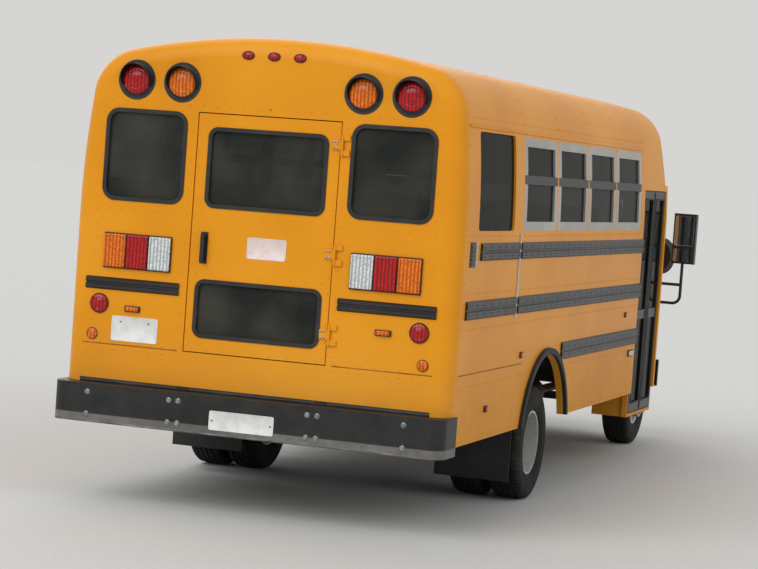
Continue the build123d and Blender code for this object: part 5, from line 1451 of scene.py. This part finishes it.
mirror_glass = mottled("mirror_glass", ("#8f979b", "#a3abae", "#b0b7ba"), 400, 6.0, 0.01, Roughness=0.04, Metallic=0.95)
mirror_faces = []
mirror_backs = []
for side in (-1, 1):
    for low_z, high_z, crown in ((1.640, 1.885, 0.0), (1.515, 1.622, 0.004)):
        middle = (side * 1.305, 2.5655, (low_z + high_z) / 2)
        face = sheet_plate("mirror_face", middle, (0.158, high_z - low_z), 0.018, 0.003 + crown)
        mirror_faces.append(face)
    for z in (1.58, 1.76):
        mirror_backs.append(
            block(
                "mirror_clamp", (side * 1.30 - 0.028, 2.632, z - 0.018), (side * 1.30 + 0.028, 2.648, z + 0.018), 0.004
            )
        )
    shell = block("mirror_shell", (side * 1.305 - 0.0895, 2.566, 1.501), (side * 1.305 + 0.0895, 2.634, 1.899), 0.02, 4)
    mirror_backs.append(shell)
fitted(joined("mirror_glasses", mirror_faces), "chassis", mirror_glass)
fitted(joined("mirror_shells", mirror_backs), "chassis", scuffed_black)

# Stop arm. An octagonal aluminium blade, red with a white edge and left blank, with a red flasher
# near its top and bottom, folded against the left side on its hinge.

stop_red = mottled("stop_red", ("#9c1216", "#ab161a", "#b61c20"), 200, 1.0, 0.03, Roughness=0.35)
dress(stop_red, "stop_arm")
arm_middle = Vector((0, 1.045, 1.475))
edge_parts = []
flashers = []
for face_x, way in ((-1.2400, -1), (-1.2240, 1)):
    bpy.ops.mesh.primitive_circle_add(vertices=8, radius=0.2425, rotation=(0, 0, math.pi / 8))
    border = bpy.context.object
    border.name = "stop_border"
    bpy.ops.object.transform_apply(location=True, rotation=True, scale=True)
    bpy.ops.object.mode_set(mode="EDIT")
    bpy.ops.mesh.select_all(action="SELECT")
    bpy.ops.transform.resize(value=(0.975, 0.975, 1), center_override=(0, 0, 0))
    bpy.ops.mesh.extrude_edges_move()
    bpy.ops.transform.resize(value=(0.925, 0.925, 1), center_override=(0, 0, 0))
    bpy.ops.mesh.select_all(action="SELECT")
    bpy.ops.mesh.extrude_region_move(TRANSFORM_OT_translate={"value": (0, 0, 0.0008)})
    bpy.ops.mesh.select_all(action="SELECT")
    bpy.ops.mesh.normals_make_consistent(inside=False)
    bpy.ops.object.mode_set(mode="OBJECT")
    turn = Matrix.Translation((face_x, arm_middle.y, arm_middle.z)) @ Matrix.Rotation(way * math.pi / 2, 4, "Y")
    border.data.transform(turn)
    edge_parts.append(border)
for dz in (-0.135, 0.135):
    flasher = turned("flasher", [(0.044, -0.001), (0.044, 0.004), (0.04, 0.008), (0.022, 0.0115), (0, 0.0125)], 32)
    turn = Matrix.Translation((-1.24, arm_middle.y, arm_middle.z + dz)) @ Matrix.Rotation(-math.pi / 2, 4, "Y")
    flashers.append(copied(flasher, turn))
    bpy.data.objects.remove(flasher)
fitted(joined("stop_arm_border", edge_parts), "stop_arm", plate_white)
fitted(joined("stop_arm_flashers", flashers), "stop_arm", red_lens)

# Tow eyes. Bent round bar, welded to plates that drop from the frame horns behind the front
# bumper, and painted black.

tow_eyes = []
for side in (-1, 1):
    x = side * 0.36
    tow_eyes.append(
        tube(
            "tow_eye",
            [
                (x, 3.45, 0.415),
                (x, 3.515, 0.412),
                (x, 3.548, 0.40),
                (x, 3.548, 0.372),
                (x, 3.515, 0.362),
                (x, 3.45, 0.368),
            ],
            0.009,
            10,
        )
    )
    tow_eyes.append(block("tow_eye_root", (x - 0.02, 3.40, 0.36), (x + 0.02, 3.46, 0.56), 0.004))
fitted(joined("tow_eyes", tow_eyes), "chassis", scuffed_black)

# Floor. Plywood on steel cross members under a black ribbed rubber mat, which is cemented
# down and dusty where it is trodden.


def ribbed_mat():
    """Rubber matting: ribs 12 mm apart that run along the bus, with grit trodden in between."""
    material, tree, shader, place = new_finish("floor_rubber", Roughness=0.75)
    ribs = add_node(tree, "TexWave", {"Vector": place, "Scale": band_rate / 12}, wave_type="BANDS", bands_direction="X")
    grit = add_node(tree, "TexNoise", {"Vector": place, "Scale": 6.0, "Detail": 8.0})
    trodden = add_node(tree, "ValToRGB", {"Fac": grit.outputs["Fac"]}, stops=((0.35, "#171717"), (0.7, "#3b3936")))
    tree.links.new(trodden.outputs["Color"], shader.inputs["Base Color"])
    return embossed(material, ribs.outputs["Fac"], 0.6, 0.002)


floor_mat = ribbed_mat()
dress(floor_mat, "floor")

# Seat frames. Bent square steel tube, sprayed grey, bolted to the floor on the aisle side
# and to the rail on the wall.

seat_enamel = mottled("seat_enamel", ("#303031", "#3c3c3d", "#4a4a4b"), 90, 1.0, 0.05, Roughness=0.45)
dress(seat_enamel, "seat_frames")

# Benches. Foam pads on plywood in dark blue grey vinyl, welted along their edges; each back leans
# a little and is high, as the rule for such buses asks.


def vinyl_finish(name, colours, leather_mm):
    """Expanded vinyl: a soft sheen over an embossed grain, paler where it is rubbed."""
    material, tree, shader, place = new_finish(name, Roughness=0.5, Sheen_Weight=0.08)
    rubbed = add_node(tree, "TexNoise", {"Vector": place, "Scale": 5.0, "Detail": 4.0})
    stops = [(0.3 + 0.4 * k / (len(colours) - 1), colour) for k, colour in enumerate(colours)]
    colour = add_node(tree, "ValToRGB", {"Fac": rubbed.outputs["Fac"]}, stops=stops)
    tree.links.new(colour.outputs["Color"], shader.inputs["Base Color"])
    grain = add_node(tree, "TexVoronoi", {"Vector": place, "Scale": 1000 / leather_mm})
    return embossed(material, grain.outputs["Distance"], 0.35, 0.0006)


# the real grain is 1 mm across, drawn at 3 mm so that it shows
bench_vinyl = vinyl_finish("bench_vinyl", ("#121a26", "#18222f", "#222d3b"), 3)
voxel = 0.017


def pad_form(name, size, corner):
    """An upholstery pad's cut shape, centred, its thin way along Y, with rounded corners."""
    bpy.ops.mesh.primitive_plane_add(size=1, rotation=(math.pi / 2, 0, 0))
    pad = bpy.context.object
    pad.name = name
    pad.scale = (size[0], size[2], 1)
    bpy.ops.object.transform_apply(location=True, rotation=True, scale=True)
    bpy.ops.object.mode_set(mode="EDIT")
    bpy.ops.mesh.select_all(action="SELECT")
    bpy.ops.mesh.bevel(offset=corner, segments=6, affect="VERTICES")
    bpy.ops.mesh.select_all(action="SELECT")
    bpy.ops.mesh.extrude_region_move(TRANSFORM_OT_translate={"value": (0, size[1], 0)})
    bpy.ops.mesh.select_all(action="SELECT")
    bpy.ops.mesh.normals_make_consistent(inside=False)
    bpy.ops.transform.translate(value=(0, -size[1] / 2, 0))
    bpy.ops.object.mode_set(mode="OBJECT")
    soften(pad, min(size[1] * 0.32, 0.022), 3)
    return pad


def stuffed(pad, most):
    """Blows a pad up as foam fills its cover, with no point moving further than most."""
    grid = pad.modifiers.new("grid", "REMESH")
    grid.mode = "VOXEL"
    grid.voxel_size = voxel
    settle(pad)
    start = [v.co.copy() for v in pad.data.vertices]
    cloth = pad.modifiers.new("cover", "CLOTH")
    cloth.settings.use_pressure = True
    cloth.settings.uniform_pressure_force = 4.0
    cloth.settings.effector_weights.gravity = 0
    cloth.settings.quality = 4
    cloth.point_cache.frame_start = 1
    cloth.point_cache.frame_end = 20
    for step in range(1, 21):
        bpy.context.scene.frame_set(step)
    settle(pad)
    bpy.context.scene.frame_set(1)
    for vert, place in zip(pad.data.vertices, start):
        moved = vert.co - place
        if moved.length > most:
            vert.co = place + moved * (most / moved.length)
    return pad


def welt(pad, size, y, corner, radius=0.0045):
    """A sewn welt cord that follows the edge of a pad, drawn onto its surface."""
    half_x, half_z = size[0] / 2, size[2] / 2
    ring = []
    for cx, cz, first in ((half_x, half_z, 0), (-half_x, half_z, 90), (-half_x, -half_z, 180), (half_x, -half_z, 270)):
        for k in range(5):
            angle = math.radians(first + 22.5 * k)
            centre_x = cx - math.copysign(corner, cx)
            centre_z = cz - math.copysign(corner, cz)
            ring.append(Vector((centre_x + corner * math.cos(angle), y, centre_z + corner * math.sin(angle))))
    points = []
    for k, point in enumerate(ring):
        following = ring[(k + 1) % len(ring)]
        count = max(1, round((following - point).length / 0.05))
        points += [point.lerp(following, j / count) for j in range(count)]
    surface = []
    for point in points:
        _, place, normal, _ = pad.closest_point_on_mesh(point)
        surface.append(place + normal * radius * 0.3)
    surface.append(surface[0])
    return tube("welt", surface, radius, 6, False)


bench_low_x, bench_high_x = 0.29, 1.14
cushion_size = (bench_high_x - bench_low_x - 0.016, 0.096, 0.405)
cushion = stuffed(pad_form("cushion_form", cushion_size, 0.035), 0.013)
cushion_welts = [welt(cushion, cushion_size, way * cushion_size[1] * 0.40, 0.035) for way in (-1, 1)]
cushion = joined("cushion_form", [cushion] + cushion_welts)
back_size = (bench_high_x - bench_low_x - 0.016, 0.066, 0.70)
back = stuffed(pad_form("back_form", back_size, 0.055), 0.011)
back_welts = [welt(back, back_size, way * back_size[1] * 0.42, 0.055) for way in (-1, 1)]
back = joined("back_form", [back] + back_welts)

bench_middle_x = (bench_low_x + bench_high_x) / 2
bench_tilt = Matrix.Rotation(math.atan2(0.06, 0.81), 4, "X")
for side, hand in hands:
    for row in range(6):
        back_y = -3.24 + 0.7 * row
        lying = Matrix.Translation((side * bench_middle_x, back_y + 0.075 + 0.2, 1.245)) @ facing_back
        standing = Matrix.Translation((side * bench_middle_x, back_y + 0.0125, 1.574)) @ bench_tilt
        name = f"{hand}_{row + 1}"
        piece = fitted(copied(cushion, lying, "bench_cushion_" + name), "chassis", bench_vinyl, 60)
        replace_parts(piece, "benches")
        piece = fitted(copied(back, standing, "bench_back_" + name), "chassis", bench_vinyl, 60)
        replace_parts(piece, "benches")
bpy.data.objects.remove(cushion)
bpy.data.objects.remove(back)

# Driver's seat. A sprung seat in grey woven cloth: a cushion, a back with side bolsters and a head
# pad on two plated posts.


def woven_cloth():
    """Flat woven upholstery cloth: crossed threads about 1 mm apart, drawn at 2.5 mm so that they show."""
    material, tree, shader, place = new_finish("driver_cloth", Roughness=0.85, Sheen_Weight=0.25)
    threads = []
    for way in ("X", "Z"):
        threads.append(
            add_node(
                tree,
                "TexWave",
                {"Vector": place, "Scale": band_rate / 2.5, "Distortion": 0.6, "Detail": 1.0},
                wave_type="BANDS",
                bands_direction=way,
            )
        )
    weave = add_node(tree, "Math", {0: threads[0].outputs["Fac"], 1: threads[1].outputs["Fac"]}, operation="MULTIPLY")
    colour = add_node(tree, "ValToRGB", {"Fac": weave.outputs["Value"]}, stops=((0.0, "#2b2d31"), (0.6, "#4a4d52")))
    tree.links.new(colour.outputs["Color"], shader.inputs["Base Color"])
    return embossed(material, weave.outputs["Value"], 0.4, 0.0008)


driver_cloth = woven_cloth()
driver_x = -0.48
seat_rows = (
    ("driver_cushion", (0.484, 0.094, 0.40), 0.05, 0.014, (driver_x, 1.88, 1.166), math.pi / 2),
    ("driver_back", (0.46, 0.076, 0.50), 0.07, 0.014, (driver_x, 1.638, 1.458), math.atan2(0.09, 0.77)),
    ("driver_head_pad", (0.25, 0.066, 0.135), 0.04, 0.012, (driver_x, 1.590, 1.800), math.atan2(0.09, 0.77)),
)
for name, size, corner, most, place, turn in seat_rows:
    pad = stuffed(pad_form(name + "_form", size, corner), most)
    pad = joined(name, [pad] + [welt(pad, size, way * size[1] * 0.42, corner) for way in (-1, 1)])
    pad.data.transform(Matrix.Translation(place) @ Matrix.Rotation(turn, 4, "X"))
    fitted(pad, "chassis", driver_cloth, 60)
    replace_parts(pad, "driver_seat")
posts = [
    tube("post", [(driver_x + dx, 1.612, 1.66), (driver_x + dx, 1.598, 1.78)], 0.006, 8, False) for dx in (-0.05, 0.05)
]
fitted(joined("head_pad_posts", posts), "chassis", zinc_plate)

# Steering wheel. A moulded rim on three spokes over a padded boss, on a column in a
# moulded shroud.

wheel_centre = Vector((driver_x, 2.29, 1.37))
column_way = Vector((0, 0.72, -0.69)).normalized()
dash_abs = mottled("dash_plastic", ("#1d1e1f", "#252627", "#2f3031"), 160, 1.6, 0.2, Roughness=0.6)
bpy.ops.mesh.primitive_torus_add(major_segments=56, minor_segments=12, major_radius=0.191, minor_radius=0.0125)
rim = bpy.context.object
rim.data.transform(Matrix.Translation((0, 0, 0.012)))
boss = turned("boss", [(0.058, 0.002), (0.062, 0.01), (0.056, 0.022), (0.03, 0.026), (0, 0.027)], 32)
boss_back = turned("boss_back", [(0.045, 0.004), (0.034, -0.024), (0.031, -0.16), (0.0, -0.165)], 24)
spokes = []
for angle in (0, math.pi, -math.pi / 2):
    out = Vector((math.cos(angle), math.sin(angle), 0))
    bends = ((0.045, 0.012), (0.12, 0.006), (0.185, 0.012))
    spokes.append(tube("spoke", [out * reach + Vector((0, 0, rise)) for reach, rise in bends], 0.012, 8))
wheel = joined("steering_wheel_rim", [rim, boss, boss_back] + spokes)
wheel.data.transform(Matrix.Translation(wheel_centre) @ (-column_way).to_track_quat("Z", "Y").to_matrix().to_4x4())
fitted(wheel, "chassis", dash_abs, 40)
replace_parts(wheel, "steering_wheel")

# Dashboard. Grained ABS over a steel frame, with a hooded gauge cluster, round air vents and a
# switch panel beside them.

dress(dash_abs, "dashboard")
dash_parts = []
dash_parts.append(block("gauge_hood", (driver_x - 0.19, 2.375, 1.305), (driver_x + 0.19, 2.52, 1.345), 0.015, 4))
vent_form = turned(
    "vent_form",
    [(0.045, 0), (0.045, 0.008), (0.038, 0.01), (0.036, 0.002), (0.012, 0.002), (0.01, 0.006), (0, 0.006)],
    28,
)
for x in (-0.80, -0.17, 0.30, 0.78):
    place = on_skin("dashboard", (x, 1.9, 1.235), (0, 1, 0))
    if place is not None:
        dash_parts.append(copied(vent_form, place))
bpy.data.objects.remove(vent_form)
switches = []
for k in range(6):
    x = -0.10 + 0.035 * k
    place = on_skin("dashboard", (x, 1.9, 1.19), (0, 1, 0))
    if place is not None:
        knob = block("switch", (-0.012, -0.02, -0.001), (0.012, 0.02, 0.006), 0.003)
        knob.data.transform(place)
        switches.append(knob)
gauge_form = turned("gauge_form", [(0.05, 0), (0.05, 0.004), (0.046, 0.005), (0.045, 0.001), (0, 0.0015)], 36)
gauges = []
for dx, size in ((-0.10, 0.9), (0.02, 1.0), (0.12, 0.7)):
    place = on_skin("dashboard", (driver_x + dx, 1.9, 1.245), (0, 1, 0))
    if place is not None:
        gauges.append(copied(gauge_form, place @ Matrix.Diagonal((size, size, 1, 1))))
bpy.data.objects.remove(gauge_form)
fitted(joined("dash_trim", dash_parts + switches), "chassis", grille_plastic)
fitted(joined("gauges", gauges), "chassis", safety_glass)

# Fastener and lamp forms that were copied above are cleared away.
for form in (
    clip_nut,
    round_lens,
    round_ring,
    warning_ring,
    warning_lens,
    warning_hood,
    hinge_screws,
    bolt_form,
    rail_rivet,
    dome,
    base,
):
    bpy.data.objects.remove(form)

# Studio. The bus stands on a plain pale floor under soft light, and the camera looks at it from
# where the photograph was taken, through a longer lens that lets the bus fill the picture.

bpy.ops.mesh.primitive_plane_add(size=400)
studio_floor = bpy.context.object
studio_floor.name = "studio_floor"
floor_finish, floor_tree, floor_shader, floor_place = new_finish("studio_floor", Roughness=0.9, Specular_IOR_Level=0.2)
floor_grain = add_node(floor_tree, "TexNoise", {"Vector": floor_place, "Scale": 30.0, "Detail": 3.0})
floor_colour = add_node(
    floor_tree, "ValToRGB", {"Fac": floor_grain.outputs["Fac"]}, stops=((0.3, "#cfcecb"), (0.7, "#d5d4d1"))
)
floor_tree.links.new(floor_colour.outputs["Color"], floor_shader.inputs["Base Color"])
studio_floor.data.materials.append(floor_finish)

sky_level = 0.5
world = bpy.data.worlds.new("soft_studio")
bpy.context.scene.world = world
world.use_nodes = True
sky_tree = world.node_tree
sky_light = sky_tree.nodes["Background"]
sky_light.inputs["Color"].default_value = linear("#f2f4f6")
sky_light.inputs["Strength"].default_value = sky_level
backdrop = add_node(sky_tree, "Background", {"Color": linear("#d6d5d3"), "Strength": 1.0})
rays = add_node(sky_tree, "LightPath")
seen = add_node(
    sky_tree,
    "Math",
    {0: rays.outputs["Is Camera Ray"], 1: rays.outputs["Is Glossy Ray"]},
    operation="MAXIMUM",
)
seen = add_node(
    sky_tree, "Math", {0: seen.outputs["Value"], 1: rays.outputs["Is Transmission Ray"]}, operation="MAXIMUM"
)
sky = add_node(sky_tree, "MixShader", {"Fac": seen.outputs["Value"]})
sky_tree.links.new(sky_light.outputs["Background"], sky.inputs[1])
sky_tree.links.new(backdrop.outputs["Background"], sky.inputs[2])
sky_tree.links.new(sky.outputs["Shader"], sky_tree.nodes["World Output"].inputs["Surface"])

# each lamp's direction, strength and softness in degrees
lamp_rows = (((-0.45, -1.0, 0.8), 1.5, 50), ((1.0, -0.3, 0.65), 0.6, 60), ((-0.7, 0.9, 0.9), 0.85, 60))
for way, strength, softness in lamp_rows:
    bpy.ops.object.light_add(type="SUN", location=(0, 0, 12))
    lamp = bpy.context.object
    lamp.data.energy = strength
    lamp.data.angle = math.radians(softness)
    lamp.rotation_euler = Vector(way).to_track_quat("Z", "Y").to_euler()

bpy.ops.object.camera_add(
    location=(4.984, -16.489, 2.086), rotation=[math.radians(a) for a in (87.233, -4.197, 18.244)]
)
bpy.context.object.data.lens = 114.5
bpy.context.object.data.sensor_width = 36
bpy.context.scene.camera = bpy.context.object
bpy.context.scene.view_settings.view_transform = "Standard"
